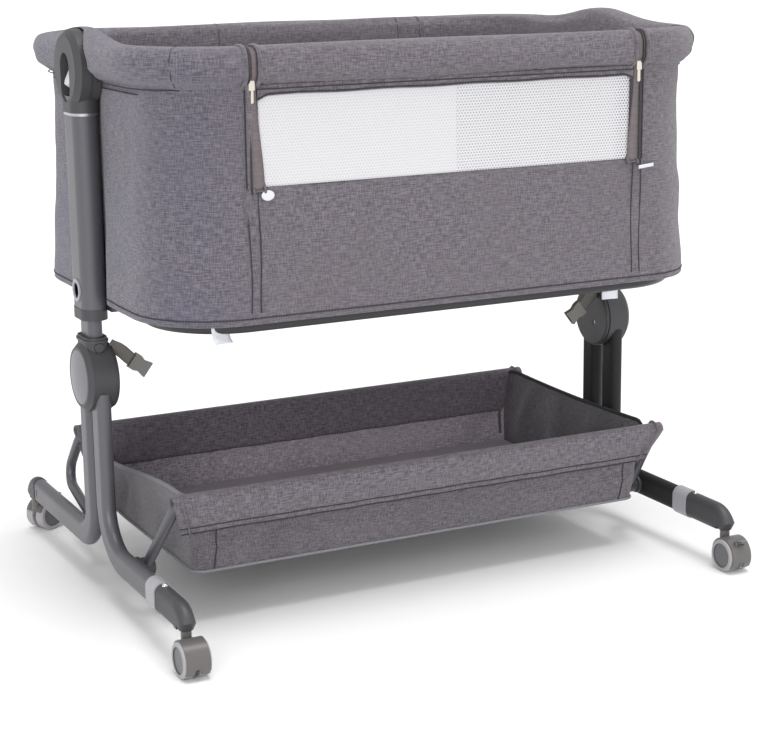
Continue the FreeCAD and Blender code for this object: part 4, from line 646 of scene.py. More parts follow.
class Plan:
    """Columns round a rounded rectangle: fixed middle part, stretch to the corners, and the corner arcs."""

    def __init__(self, middle, mid_steps=60, end_steps=4, side_steps=36, arc_steps=14):
        """middle is half the length of the front and back parts whose columns stay upright."""
        self.middle = middle
        corner = np.linspace(0, math.pi / 2, arc_steps + 1)[1:-1]
        rows = []

        def add(m, f, s, c, d):
            m, f, s, c, d = np.broadcast_arrays(m, f, s, c, d)
            rows.append(np.stack([m, f, s, c, d], -1).astype(float))

        stretch = np.linspace(0, 1, end_steps + 1)[1:]
        up = np.linspace(-1, 1, side_steps + 1)
        add(np.linspace(-1, 1, mid_steps + 1), 0, -1, 0, -1)
        add(1, stretch, -1, 0, -1)
        add(1, 1, -1, np.sin(corner), -np.cos(corner))
        add(1, 1, up, 1, 0)
        add(1, 1, 1, np.cos(corner), np.sin(corner))
        add(1, stretch[::-1], 1, 0, 1)
        add(np.linspace(1, -1, mid_steps + 1), 0, 1, 0, 1)
        add(-1, -stretch, 1, 0, 1)
        add(-1, -1, 1, -np.sin(corner), np.cos(corner))
        add(-1, -1, -up, -1, 0)
        add(-1, -1, -1, -np.cos(corner), -np.sin(corner))
        add(-1, -stretch[::-1], -1, 0, -1)
        self.m, self.f, self.s, self.c, self.d = np.concatenate(rows).T

    def at(self, half_x, half_y, corner):
        """x and y of every column; the sizes may be arrays that broadcast over rows."""
        x = self.m * self.middle + self.f * (half_x - corner - self.middle) + self.c * corner
        y = self.s * (half_y - corner) + self.d * corner
        return x, y


RIM_OVERHANG = 0.012     # how far the rim stands out from the long walls
RIM_LAP = 0.001          # how far the rim reaches below the seam under it
WALL_REST = 0.0014       # how far the walls hang in halfway up
ZIP_LINE = 0.3070        # middle of the crib to the middle of each zip


def tub():
    return bpy.context.scene.crib_tub


def corners_of(plan, radius):
    """Corner radius of every column: the right end is cut squarer than the left."""
    return radius - 0.020 * (plan.m >= 1)


def wall_half_x(z):
    t = tub()
    share = (z - t.bottom) / (t.rim_bottom - RIM_LAP - t.bottom)
    return t.half_length + (t.top_half_length - t.half_length) * share


def beside_post(x, y, far=0.4188, radius=0.095):
    """Keep the cloth inside the round hollow that clears the posts: a soft minimum of |x| and a circle."""
    limit = far + radius - np.sqrt(np.maximum(radius ** 2 - y ** 2, 0))
    limit = np.where(np.abs(y) < radius, limit, 1.0)
    soft = 0.0018
    return -np.sign(x) * soft * np.logaddexp(-np.abs(x) / soft, -limit / soft)


def wall_point(plan, z, inset=0.0):
    """A point of the tub's wall for every column and height, with its waist and its soft unevenness."""
    t = tub()
    z = np.asarray(z, float)[:, None]
    x, y = plan.at(wall_half_x(z) - inset, t.half_width - inset, corners_of(plan, t.corner) - inset)
    nx, ny = plan.c, plan.d
    share = (z - t.bottom) / (t.rim_bottom - t.bottom)
    curved = 1 - np.clip(1 - np.abs(nx) * 1.6, 0, 1)
    waist = 0.0032 * np.sin(math.pi * np.clip(share, 0, 1) ** 1.7) ** 1.5 * curved
    rest = WALL_REST * np.sin(math.pi * np.clip(share, 0, 1))
    around = np.arctan2(y, x) * 0.45
    crease = wavy(around * 2.2, z * 3.0, 5, 0.0016) + wavy(around * 7.0 + z * 3.0, z * 6.0, 8, 0.0008)
    calm = 1 - 0.45 * smooth(np.abs(ny), 0.80, 1.0)
    off = -waist - rest + crease * calm * np.sin(math.pi * np.clip(share, 0.02, 0.98)) ** 0.5
    x = x + nx * off
    y = y + ny * off
    x = beside_post(x, y)
    return np.stack(np.broadcast_arrays(x, y, z), -1)


class CRIB_OT_tub(bpy.types.Operator):
    """Sewn tub of the bassinet: outer cloth, inner cloth, floor, hem and seams"""
    bl_idname = "crib.tub"
    bl_label = "Bassinet tub"

    def execute(self, context):
        t = tub()
        plan = Plan(t.slot_half)
        under = np.array([0.030, 0.012, 0.0046, 0.0016, 0.0002])
        low = t.bottom + np.array([0.0, -0.0008, -0.0046, -0.0056, -0.0040])
        heights = np.concatenate([
            np.linspace(t.bottom + 0.004, t.window_bottom, 34),
            np.linspace(t.window_bottom, t.rim_bottom + 0.014, 28)[1:]])
        rows = [wall_point(plan, [z], inset)[0] for z, inset in zip(low, under)]
        wall = np.concatenate([np.stack(rows), wall_point(plan, heights)])
        z = np.concatenate([low, heights])
        ring = wall[len(low)]
        around = arc_length(np.concatenate([ring, ring[:1]]))
        down = arc_length(wall[:, len(plan.m) // 3])
        uv = np.stack(np.meshgrid(down, around, indexing="ij")[::-1], -1)
        row_mid = (z[:-1] + z[1:]) / 2
        front = (plan.s == -1) & (plan.c == 0)
        next_front = np.roll(front, -1)
        mid_x = (plan.m * t.slot_half + np.roll(plan.m, -1) * t.slot_half) / 2
        gap = front & next_front & (plan.f == 0) & (np.roll(plan.f, -1) == 0) & (np.abs(mid_x) < t.slot_half)
        keep = ~((row_mid[:, None] > t.window_bottom) & gap[None, :])
        outer = grid_piece("tub_cloth", wall, melange_linen("cool"), uv, (False, True), keep)
        dress(solid(outer, 0.0045), "bassinet")
        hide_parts("bassinet_fabric")

        base = floor_cloth("tub_floor_cloth", wall[0], (0.0, 0.3, 0.7, 0.95), t.bottom + 0.0006)
        dress(solid(base, 0.0035), "bassinet")

        hem_path = wall_point(plan, [t.bottom + 0.0035])[0]
        hem = swept("tub_hem", outward(hem_path, 0.0003), ellipse(0.0008, 0.0011, 8), seam_thread(), closed=True)
        dress(hem, "bassinet")
        self.seams(t)
        return {"FINISHED"}

    def seams(self, t):
        """Upright seams beside the zips, below the window and next to it."""
        lines = []
        z = np.linspace(t.bottom + 0.011, t.window_bottom + 0.001, 40)
        for sign in (-1, 1):
            for x in (0.2962, 0.3105):
                sway = 0.0012 * np.sin(z * 40 + x * 90) + (0.0016 if sign > 0 else 0)
                lines.append(np.stack([sign * (x + sway), front_wall_y(z) - 0.0007, z], -1))
        z = np.linspace(t.window_bottom, t.rim_bottom, 24)
        for sign in (-1, 1):
            lines.append(np.stack([np.full_like(z, sign * 0.3135), front_wall_y(z) - 0.0012, z], -1))
        sewn("tub_seams", [stitches(line, 0.0009, 0.0007, up=(0, -1, 0)) for line in lines], "bassinet")


def front_wall_y(z):
    """Where the front wall stands at a height: a little hollow halfway up."""
    t = tub()
    return -(t.half_width - WALL_REST * np.sin(math.pi * (z - t.bottom) / (t.rim_bottom - t.bottom)))


def outward(ring, distance):
    """Move a closed ring of points outward in its own plane."""
    tangent = np.roll(ring, -1, 0) - np.roll(ring, 1, 0)
    normal = np.stack([tangent[:, 1], -tangent[:, 0], np.zeros(len(ring))], -1)
    normal /= np.linalg.norm(normal, axis=1, keepdims=True)
    return ring + normal * distance


# ---------------------------------------------------------------- the padded rim

def rim_centre():
    """Distance of the rim's centre line from the middle of the crib, and its height."""
    t = tub()
    return t.half_width + RIM_OVERHANG - t.rim_thick / 2, t.rim_bottom - RIM_LAP + t.rim_tall / 2


def rim_outline(count=40):
    """Soft box section as (out, up) offsets from its middle, rounder on top, tucked in at its lower seam."""
    t = tub()
    a = np.linspace(-math.pi / 2, 1.5 * math.pi, count, endpoint=False)
    power = 0.72
    out = np.sign(np.cos(a)) * np.abs(np.cos(a)) ** power * t.rim_thick / 2
    up = np.sign(np.sin(a)) * np.abs(np.sin(a)) ** power * t.rim_tall / 2
    tuck = smooth(-up, t.rim_tall * 0.18, t.rim_tall * 0.5)
    out = out * (1 - 0.34 * tuck) - tuck * 0.0045
    return np.stack([out, up], -1)


def rim_points(x, y, nx, ny, along, seed):
    """The rim's surface over its centre line: section, peak beside the hubs, soft unevenness, hub hollow."""
    t = tub()
    outline = rim_outline()
    out, up = outline[None, :, 0], outline[None, :, 1]
    puff = wavy(along[:, None] * 1.1, up * 20 + out * 10, seed, 0.0011)
    pucker = 0.0007 * np.sin(along[:, None] * 260 + 2 * np.sin(along[:, None] * 37))
    pucker = pucker * smooth(-up, 0.010, 0.028)
    long = np.hypot(out, up)
    grow = 1 + (puff + pucker) / long
    peak = t.rim_peak * np.exp(-(y / 0.085) ** 2) * smooth(np.abs(x), 0.30, 0.40)
    out = out - 0.0085 * smooth(-up, -0.012, 0.026) * smooth(np.abs(nx), 0.3, 0.95)[:, None] * (out > -0.010)
    px = x[:, None] + nx[:, None] * out * grow
    py = y[:, None] + ny[:, None] * out * grow
    pz = rim_centre()[1] + up * grow + peak[:, None] * smooth(up, -0.02, 0.029)
    reach = np.hypot(py, pz - t.hub_height)
    limit = 0.4203 + 0.0195 * smooth(reach, 0.0532, 0.0562) + 0.016 * smooth(reach, 0.0575, 0.070)
    near_post = (np.abs(py) < 0.040) & (pz < t.hub_height)
    limit = np.where(near_post, 0.4185, limit)
    px = np.sign(px) * np.minimum(np.abs(px), limit)
    return np.stack([px, py, pz], -1)


def rim_uv(points, along):
    ring = points[len(points) // 2]
    across = arc_length(np.concatenate([ring, ring[:1]]))
    return np.stack(np.meshgrid(along, across, indexing="ij"), -1)


def closed_ends(points, along):
    """Draw both ends of a sleeve in to a flat sewn close."""
    def shrunk(ring, share):
        return ring.mean(0) + (ring - ring.mean(0)) * share

    head = [shrunk(points[0], k) for k in (0.0, 0.5, 0.9)]
    tail = [shrunk(points[-1], k) for k in (0.9, 0.5, 0.0)]
    near = np.array([-0.02, -0.01, -0.002])
    return (np.concatenate([head, points, tail]),
            np.concatenate([along[0] + near, along, along[-1] - near[::-1]]))


def section_path(lift, x):
    """Path over the front rim in the Y-Z plane at one x, from its inner foot over the top to its outer foot."""
    outline = rim_outline(64)
    start = np.argmin(np.hypot(outline[:, 0] + 0.012, outline[:, 1] + 0.022))
    outline = np.roll(outline, -start, 0)[::-1][:56]
    outline = outline * (1 + lift / np.linalg.norm(outline, axis=1, keepdims=True))
    far, height = rim_centre()
    return np.stack([np.full(len(outline), float(x)), -far - outline[:, 0], height + outline[:, 1]], -1)


class CRIB_OT_rim(bpy.types.Operator):
    """Padded rim that is fixed to the tub, from one zip round the back to the other"""
    bl_idname = "crib.rim"
    bl_label = "Padded rim"

    def execute(self, context):
        t = tub()
        plan = Plan(t.slot_half, 60, 6, 150, 26)
        half_x = t.top_half_length + 0.031 - t.rim_thick / 2
        corner = corners_of(plan, t.corner) + 0.023 - t.rim_thick / 2
        x, y = plan.at(half_x, rim_centre()[0], corner)
        first = int(np.flatnonzero((plan.m == 1) & (plan.f == 0) & (plan.s == -1))[0])
        order = (np.arange(len(x)) + first) % len(x)
        last = int(np.flatnonzero((plan.m[order] == -1) & (plan.f[order] == 0) & (plan.s[order] == -1))[0])
        order = order[:last + 1]
        x, y, nx, ny = x[order], y[order], plan.c[order], plan.d[order]
        along = arc_length(np.stack([x, y], -1))
        points = rim_points(x, y, nx, ny, along, 21)
        points, along = closed_ends(points, along)
        rim = grid_piece("rim_padding", points, melange_linen("cool"), rim_uv(points, along), (False, True))
        dress(rim, "bassinet")
        self.seams(t, x, y, nx, ny)
        return {"FINISHED"}

    def seams(self, t, x, y, nx, ny):
        """Stitched line under the rim and the sewn joins across it."""
        foot_x = x - nx * (t.rim_thick / 2 - 0.0130)
        foot_y = y - ny * (t.rim_thick / 2 - 0.0130)
        z = np.full_like(x, t.rim_bottom + 0.0005)
        ring = np.stack([beside_post(foot_x + nx * 0.0095, foot_y), foot_y + ny * 0.0095, z], -1)
        low = np.stack([beside_post(foot_x + nx * 0.0015, foot_y), foot_y + ny * 0.0015, z - 0.0085], -1)
        pieces = [stitches(ring, 0.0009, 0.0008), stitches(low, 0.0008, 0.0008)]
        for side, places in ((-1, (-0.392, 0.404)), (1, (-0.120, 0.196, 0.236))):
            for at in places:
                nearest = int(np.argmin(np.abs(x - at) + 5 * (y * side < 0.2)))
                pieces.append(self.cross_seam(x, y, nx, ny, nearest))
        sewn("rim_seams", pieces, "bassinet")

    def cross_seam(self, x, y, nx, ny, at):
        """Sewn join round the rim's section at one of its columns."""
        pick = slice(at, at + 1)
        ring = rim_points(x[pick], y[pick], nx[pick], ny[pick], np.array([0.4]), 21)[0]
        centre = ring.mean(0)
        size = np.linalg.norm(ring - centre, axis=1, keepdims=True)
        ring = centre + (ring - centre) * (1 + 0.0001 / size)
        normal = np.array([-ny[at], nx[at], 0.0])
        return stitches(ring, 0.0005, 0.0005, 6, up=normal, closed=True)


class CRIB_OT_drop_side(bpy.types.Operator):
    """Drop side: padded top roll, stitched border and the net window"""
    bl_idname = "crib.drop_side"
    bl_label = "Drop side"

    def execute(self, context):
        t = tub()
        x = np.linspace(-t.window_half - 0.0005, t.window_half + 0.0005, 90)
        y = np.full_like(x, -rim_centre()[0])
        along = x - x[0]
        points = rim_points(x, y, np.zeros_like(x), np.full_like(x, -1.0), along + 2.0, 22)
        points, along = closed_ends(points, along)
        roll = grid_piece("drop_roll", points, melange_linen("warm"), rim_uv(points, along), (False, True))
        dress(roll, "drop_side")
        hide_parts("drop_panel")
        self.net(t)
        self.border(t)
        return {"FINISHED"}

    def net(self, t):
        """Slightly slack net between the roll and the sewn lower edge."""
        x = np.linspace(-t.window_half + 0.002, 0.291, 120)
        z = np.linspace(t.window_bottom + 0.0008, t.rim_bottom + 0.004, 34)
        xx, zz = np.meshgrid(x, z)
        across = (xx + t.window_half) / (2 * t.window_half)
        up = (zz - t.window_bottom) / (t.rim_bottom - t.window_bottom)
        slack = np.sin(math.pi * np.clip(across, 0, 1)) ** 0.5 * np.sin(math.pi * np.clip(up, 0, 1))
        yy = -t.half_width + 0.0016 + 0.0022 * slack + wavy(across * 2.0, up * 0.3, 12, 0.0006) * slack
        points = np.stack([xx, yy, zz], -1)
        uv = np.stack([xx + t.window_half, zz - t.window_bottom], -1)
        net = grid_piece("window_net", points, window_net(), uv)
        dress(solid(net, 0.0009, 0.0), "drop_side")

    def border(self, t):
        """Strip of linen under the roll with its stitched lower edge, turned round the net."""
        x = np.linspace(-t.window_half + 0.001, t.window_half - 0.001, 110)
        drop = np.linspace(0.0, 1.0, 7)
        round_end = 0.006 * smooth(np.abs(x), t.window_half - 0.022, t.window_half) ** 2
        foot = t.rim_bottom - 0.0085 - round_end + 0.0006 * np.sin(x * 46)
        zz = (t.rim_bottom + 0.006) * (1 - drop[:, None]) + foot[None, :] * drop[:, None]
        xx = np.broadcast_to(x, zz.shape)
        yy = -t.half_width - 0.0012 - 0.0012 * np.sin(math.pi * drop[:, None]) + 0 * xx
        strip = grid_piece(
            "drop_border", np.stack([xx, yy, zz], -1), melange_linen("warm"), np.stack([xx + 1.0, zz], -1))
        dress(solid(strip, 0.0016), "drop_side")
        pieces = []
        for off, height in ((0.0026, foot + 0.0022), (0.0021, np.full_like(x, t.rim_bottom + 0.0002))):
            line = np.stack([x, np.full_like(x, -t.half_width - off), height], -1)
            pieces.append(stitches(line, 0.0010, 0.0010))
        sewn("drop_seams", pieces, "drop_side")


class CRIB_OT_zips(bpy.types.Operator):
    """Zip tapes over the rim and down beside the window, their teeth, piped edges, the button and the tab"""
    bl_idname = "crib.zips"
    bl_label = "Zips"

    def execute(self, context):
        t = tub()
        for sign, side in ((-1, "left"), (1, "right")):
            wall_y = -(t.half_width + 0.0014)
            over = section_path(-0.0022, sign * ZIP_LINE)
            under = (over[:, 2] < t.rim_bottom + 0.02) & (over[:, 1] > wall_y) & (np.arange(len(over)) > 20)
            over = over[:int(np.argmax(under))]
            lower = np.linspace(over[-1, 2] - 0.004, t.window_bottom - 0.002, 40)
            down = np.stack([np.full_like(lower, sign * ZIP_LINE), np.full_like(lower, wall_y), lower], -1)
            path = np.concatenate([over, down])
            path = path[np.concatenate([[True], np.linalg.norm(np.diff(path, axis=0), axis=1) > 0.0008])]
            path = smooth_path(path, 3)
            wide = 0.0105 + 0.0085 * smooth(-path[:, 2], -t.rim_bottom + 0.01, -t.window_bottom)
            wide = np.where(path[:, 2] > t.rim_bottom - 0.006, 0.0100, wide)
            section = ((0.06, 0.0), (0.5, 0.0004), (1.0, 0.0), (1.0, -0.0012), (0.06, -0.0012))
            outline = np.stack([np.stack([sign * wide * far, 0 * wide + top], -1) for far, top in section], 1)
            normals = path_normals(path)
            tape = swept(side + "_zip_tape", path, outline, zip_tape(), up=normals)
            dress(tape, "drop_side")
            lift = path + normals * 0.0008 + np.array([sign * 0.0014, 0, 0])
            coil = swept(side + "_zip_teeth", lift, ellipse(0.0021, 0.0013, 10), zip_teeth(), up=normals)
            dress(coil, "bassinet")
            self.piped_edges(t, side, sign)
        self.button(t)
        return {"FINISHED"}

    def piped_edges(self, t, side, sign):
        """Rolled cloth edges on both sides of the zip over the rim."""
        edges = (("fixed", t.slot_half + 0.0022, "bassinet"), ("drop", t.window_half - 0.0016, "drop_side"))
        for name, x, body in edges:
            path = section_path(0.0004, sign * x)
            roll = swept(f"{side}_{name}_piping", smooth_path(path, 2), ellipse(0.0032, 0.0022, 10),
                         melange_linen("cool"), up=path_normals(path))
            dress(roll, body)

    def button(self, t):
        """Flat white snap on the left and a blank ribbon tab on the right, at the zips' lower ends."""
        a = np.linspace(0, 1, 12)
        profile = np.stack([0.0098 * np.cos(a * math.pi / 2) ** 0.6, 0.0016 * np.sin(a * math.pi / 2)], -1)
        profile = np.concatenate([[[0.0098, -0.001]], profile])
        turn = np.linspace(0, 2 * math.pi, 36, endpoint=False)
        r, h = profile[:, 0][:, None], profile[:, 1][:, None]
        points = np.stack([
            -0.2840 + r * 0.95 * np.cos(turn), np.broadcast_to(-t.half_width - 0.0022 - h, (len(r), len(turn))),
            t.window_bottom - 0.0105 + r * 0.72 * np.sin(turn)], -1)
        uv = np.zeros((len(r), len(turn) + 1, 2))
        snap = grid_piece("snap_button", points, moulded("button_plastic"), uv, (False, True))
        dress(snap, "bassinet")
        x = np.linspace(0.3072, 0.3330, 16)
        z = np.linspace(-0.0026, 0.0026, 5)
        xx, zz = np.meshgrid(x, z)
        tilt = (xx - 0.31) * 0.10
        points = np.stack([xx, np.full_like(xx, -t.half_width - 0.0032), t.window_bottom - 0.0125 + zz + tilt], -1)
        tab = grid_piece("side_tab", points, label_ribbon(), np.stack([xx, zz], -1))
        dress(solid(tab, 0.0012), "bassinet")


def smooth_path(path, times):
    for _ in range(times):
        path = np.concatenate([path[:1], (path[:-2] + 2 * path[1:-1] + path[2:]) / 4, path[-1:]])
    return path


def path_normals(path):
    """Outward normals of a path in the Y-Z plane over the front rim."""
    tangent = np.gradient(path, axis=0)
    tangent /= np.linalg.norm(tangent, axis=1, keepdims=True)
    normal = np.cross(tangent, np.array([1.0, 0, 0]))
    flip = np.sign((normal * np.array([0, -1.0, 0.4])).sum(1).mean())
    return normal * flip


class CRIB_OT_tabs(bpy.types.Operator):
    """Blank ribbon tabs under the tub's front edge"""
    bl_idname = "crib.tabs"
    bl_label = "Ribbon tabs"

    def execute(self, context):
        t = tub()
        ss, ww = np.meshgrid(np.linspace(0, 1, 20), np.linspace(-0.0135, 0.0135, 6), indexing="ij")
        places = (("left", -0.352, -0.276, 0.30, 0.7), ("right", 0.268, -0.284, -0.28, 0.2))
        for name, x0, y0, lean, curl in places:
            bend = curl * ss ** 2
            x = x0 + ww * math.cos(lean) + 0.010 * ss ** 2 * math.sin(lean)
            y = y0 + ww * math.sin(lean) * 0.4 - 0.010 * np.sin(bend * 2) * ss
            z = t.bottom + 0.002 - 0.031 * np.sin(np.minimum(ss * 1.25, math.pi / 2))
            points = np.stack([x, y, z], -1)
            tab = grid_piece(name + "_ribbon_tab", points, label_ribbon(), np.stack([ww, ss * 0.03], -1))
            dress(solid(tab, 0.0009, 0.0), "bassinet")
        return {"FINISHED"}


# ---------------------------------------------------------------- mattress, straps, basket

class CRIB_OT_mattress(bpy.types.Operator):
    """Foam mattress in a white cover, with a corded seam round both edges"""
    bl_idname = "crib.mattress"
    bl_label = "Mattress"

    def execute(self, context):
        low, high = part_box("mattress")
        plan = Plan(0.27, 40, 3, 26, 10)
        half_x, half_y = 0.4061, high.y - 0.0003 if high.y < 0.27 else 0.2665
        corner = 0.107
        zb, zt = low.z + 0.0004, low.z + 0.0355
        rows = [(0.020, zb), (0.006, zb + 0.0016), (0.0005, zb + 0.006), (0.0022, zb + 0.017),
                (0.0005, zt - 0.007), (0.004, zt - 0.0018), (0.014, zt)]
        rings = []
        for inset, z in rows:
            x, y = plan.at(half_x - inset, half_y - inset, corner - inset)
            rings.append(np.stack([x, y, np.full_like(x, z)], -1))
        top = [rings[-1] * (k, k, 1) + (0, 0, 0.0022 * (1 - k ** 2)) for k in (0.9, 0.75, 0.55, 0.3, 0.0)]
        bottom = [rings[0] * (k, k, 1) for k in (0.0, 0.5)]
        for ring in top:
            ring[:, 2] += wavy(ring[:, 0] * 1.2, ring[:, 1] * 1.2, 31, 0.0004)
        points = np.stack(bottom + rings + top)
        uv = np.concatenate([points[..., :2], points[:, :1, :2]], 1)
        pad = grid_piece("mattress_pad", points, cover_cloth(), uv, (False, True))
        turn_out(pad)
        dress(pad, "bassinet")
        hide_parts("mattress")
        cords = []
        for z in (zb + 0.0045, zt - 0.0045):
            x, y = plan.at(half_x - 0.0006, half_y - 0.0006, corner)
            ring = np.stack([x, y, np.full_like(x, z)], -1)
            cords.append(swept("cord", ring, ellipse(0.0016, 0.0016, 8), cover_cloth(), closed=True))
        sewn("mattress_piping", cords, "bassinet")
        return {"FINISHED"}


def turn_out(piece):
    """Point every face outwards."""
    work = bmesh.new()
    work.from_mesh(piece.data)
    bmesh.ops.remove_doubles(work, verts=work.verts, dist=1e-6)
    bmesh.ops.recalc_face_normals(work, faces=work.faces)
    work.to_mesh(piece.data)
    work.free()


class CRIB_OT_straps(bpy.types.Operator):
    """Two webbing straps from the hubs to their buckle halves"""
    bl_idname = "crib.straps"
    bl_label = "Bed straps"

    def execute(self, context):
        pieces = []
        for sign in (-1, 1):
            start = np.array([sign * 0.4236, -0.0165, 0.384])
            end = np.array([sign * 0.3897, -0.0165, 0.358])
            s = np.linspace(0, 1, 24)[:, None]
            path = start + (end - start) * s
            path[:, 2] += 0.0030 * np.sin(math.pi * s[:, 0]) ** 2
            up = np.array([0, 0, 1.0]) * (1 - s) + np.array([sign * -0.607, 0, 0.794]) * s
            half, thin = 0.0098, 0.0009
            w = np.linspace(-half, half, 9)
            edge = thin * (1 - (w / half) ** 6 * 0.5)
            outline = np.concatenate([np.stack([edge, w], -1), np.stack([-edge, w], -1)[::-1]])
            pieces.append(swept("strap", path, outline, webbing(), up=up))
        straps = join("bed_strap_webbing", pieces)
        turn_out(straps)
        dress(straps, "base")
        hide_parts("bed_straps")
        return {"FINISHED"}


BASKET_SPAN = 0.34       # half length of the part of the basket's walls whose columns stay upright
SLEEVE_REST = 0.0095     # how far the walls' top edges lie outside the tubes


def basket():
    return bpy.context.scene.crib_basket


def basket_flare():
    """How far the long walls lean out from their foot to their top edge."""
    b = basket()
    return b.tube_y + SLEEVE_REST - b.bottom_half_width


class CRIB_OT_basket(bpy.types.Operator):
    """Sewn storage basket: walls with their folds, sleeves round the tubes, seams and piping"""
    bl_idname = "crib.basket"
    bl_label = "Storage basket"

    def execute(self, context):
        b = basket()
        plan = Plan(BASKET_SPAN, 120, 5, 84, 6)
        share = np.concatenate([[0.0], np.linspace(0.02, 1, 40)])[:, None]
        x, y = plan.at(b.bottom_half_length, b.bottom_half_width, 0.016)
        end = np.abs(plan.c)
        y_share = np.clip(y / b.bottom_half_width, -1, 1)
        sag = np.where(x < 0, 0.006 + 0.036 * smooth(y_share, -0.9, 0.95), 0.004 * (1 - y_share ** 2))
        top = (b.tube_z - 0.010) * (1 - end) + (b.top - 0.0015 - sag) * end
        z = b.bottom + (top - b.bottom) * share
        rise = (z - b.bottom) / (b.top - b.bottom)
        x = x + plan.c * (b.top_half_length - b.bottom_half_length) * rise
        y = y + plan.d * basket_flare() * rise
        off = self.folds(plan, x, y, share)
        walls = np.stack([x + plan.c * off, y + plan.d * off, z], -1)
        around = arc_length(np.concatenate([walls[-1], walls[-1][:1]]))
        uv = np.stack(np.meshgrid(share[:, 0] * (b.top - b.bottom), around, indexing="ij")[::-1], -1)
        # The basket's outer faces take the darker copy: painted shade under the tub.
        trough = grid_piece("basket_cloth", walls, melange_linen("deep"), uv, (False, True))
        # The shell's inner faces take the lighter copy: painted light inside the basket.
        solid(trough, 0.0022).modifiers["thickness"].material_offset = 1
        for finish in (melange_linen("bright"), melange_linen("deep"), melange_linen("dark")):
            trough.data.materials.append(finish)
        # The right end panel's faces: outer ones take the darker copy, inner ones the darkest, both painted shade.
        facing = np.zeros(3 * len(trough.data.polygons))
        trough.data.polygons.foreach_get("normal", facing)
        right_end = facing[::3] > 0.7
        trough.data.polygons.foreach_set("material_index", np.where(right_end, 2, 0).astype(np.int32))
        dress(trough, "base")
        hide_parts("storage_basket")
        base = floor_cloth("basket_floor_cloth", walls[0], (0, 0.4, 0.8, 0.97), b.bottom + 0.0004, out=(0, 0, -1))
        dress(solid(base, 0.0022), "base")
        self.sleeve(b, -1, "front", 0.058, 0.020)
        self.sleeve(b, 1, "rear", 0.055, 0.070)
        self.trim(walls, plan)
        return {"FINISHED"}

    def folds(self, plan, x, y, share):
        """How far the cloth stands off its taut wall: soft belly, slanting creases, slack folds at the ends."""
        belly = np.sin(math.pi * np.clip(share, 0, 1))
        front, rear = (plan.d < -0.5) * 1.0, (plan.d > 0.5) * 1.0
        left, right = (plan.c < -0.5) * 1.0, (plan.c > 0.5) * 1.0
        lean = x * 46 + share * 2.6
        crease = 0.0034 * np.sin(lean * 1.7 + 1.2 * np.sin(lean * 0.7))
        crease = crease * (0.35 + 0.65 * smooth(-x, -0.2, 0.2)) * front
        slant = (x - 0.30) * 120 - share * 5.0
        pull = 0.0016 * np.sin(slant) * smooth(x, 0.14, 0.36) * rear + 0.0010 * np.sin(x * 42 + 1.0) * rear
        slack_left = -0.016 * np.exp(-((y - 0.100 - 0.05 * (1 - share)) / 0.035) ** 2) * left
        slack_right = (-0.0075 * np.exp(-((y - 0.150 + 0.03 * share) / 0.020) ** 2)
                       - 0.0050 * np.exp(-((y - 0.040) / 0.024) ** 2)
                       - 0.0035 * np.exp(-((y + 0.075) / 0.030) ** 2)) * right
        loose = wavy(np.where(left + right > 0, y * 2.2 + 3, x * 2.2), share * 0.12, 41, 0.0022)
        fine = wavy(np.where(left + right > 0, y * 7.0, x * 7.0) + share * 0.6, share * 0.2, 43, 0.0009)
        under_flap = 1 - 0.9 * smooth(share, 0.36, 0.52) * (front + rear)
        return (0.0030 * (front + rear) - 0.0050 * (left + right) + loose + fine
                + crease + pull + slack_left + slack_right) * belly * under_flap

    def sleeve(self, b, sign, name, outer_drop, inner_drop):
        """Sleeve over a tube: an arch over it, then flat flaps down the wall's outer and inner faces."""
        x = np.linspace(-1, 1, 190)
        a = np.linspace(0, math.pi, 17)
        r = 0.0106
        lean = basket_flare() / (b.top - b.bottom)
        down = np.linspace(0, 1, 10)[1:] ** 0.8
        outer = np.stack([r + 0.0024 * down ** 0.5 - lean * outer_drop * down, -(outer_drop - 0.011) * down], -1)
        inner = np.stack([-r + (0.0150 if inner_drop > 0.04 else 0.0020) * down ** 1.5
                          - lean * inner_drop * down, -(inner_drop - 0.011) * down], -1)
        arch = np.stack([np.cos(a) * r, np.sin(a) * r], -1)
        section = np.concatenate([outer[::-1], arch, inner])
        deep = np.clip(-section[:, 1] / 0.05, 0, 1)
        reach = np.where(x[:, None] > 0, 0.4095 - 0.034 * deep, 0.4095 - 0.013 * deep)
        xx = x[:, None] * reach
        loose = wavy(xx * 1.6, xx * 0.2, 51 + sign, 0.0008)
        ripple = (0.0010 * np.sin(xx * 64 + 2 * np.sin(xx * 9)) + loose) * deep
        yy = sign * (b.tube_y + section[:, 0] + ripple)
        zz = b.tube_z + section[:, 1] + 0 * xx
        points = np.stack([xx, yy, zz], -1)
        across = arc_length(section)
        uv = np.stack(np.broadcast_arrays(xx + 2.0, across[None, :]), -1)
        band = grid_piece(name + "_basket_sleeve", points, melange_linen("warm"), uv, out=(0, sign, 1.0))
        dress(solid(band, 0.0012), "base")
        pieces = []
        rows = (2, 0) if sign < 0 else (2, 0, len(section) - 1)
        for row in rows:
            side = np.array([0, sign * (1 if row < 9 else -1) * 0.0004, 0])
            pieces.append(stitches(points[:, row] + side, 0.0009, 0.0009, 6))
        sewn(name + "_basket_seams", pieces, "base")
        hems = [swept("hem", points[at], ellipse(0.0042, 0.0011, 8), melange_linen("warm"), up=(1, 0, 0))
                for at in (3, -4)]
        sewn(name + "_sleeve_hems", hems, "base")

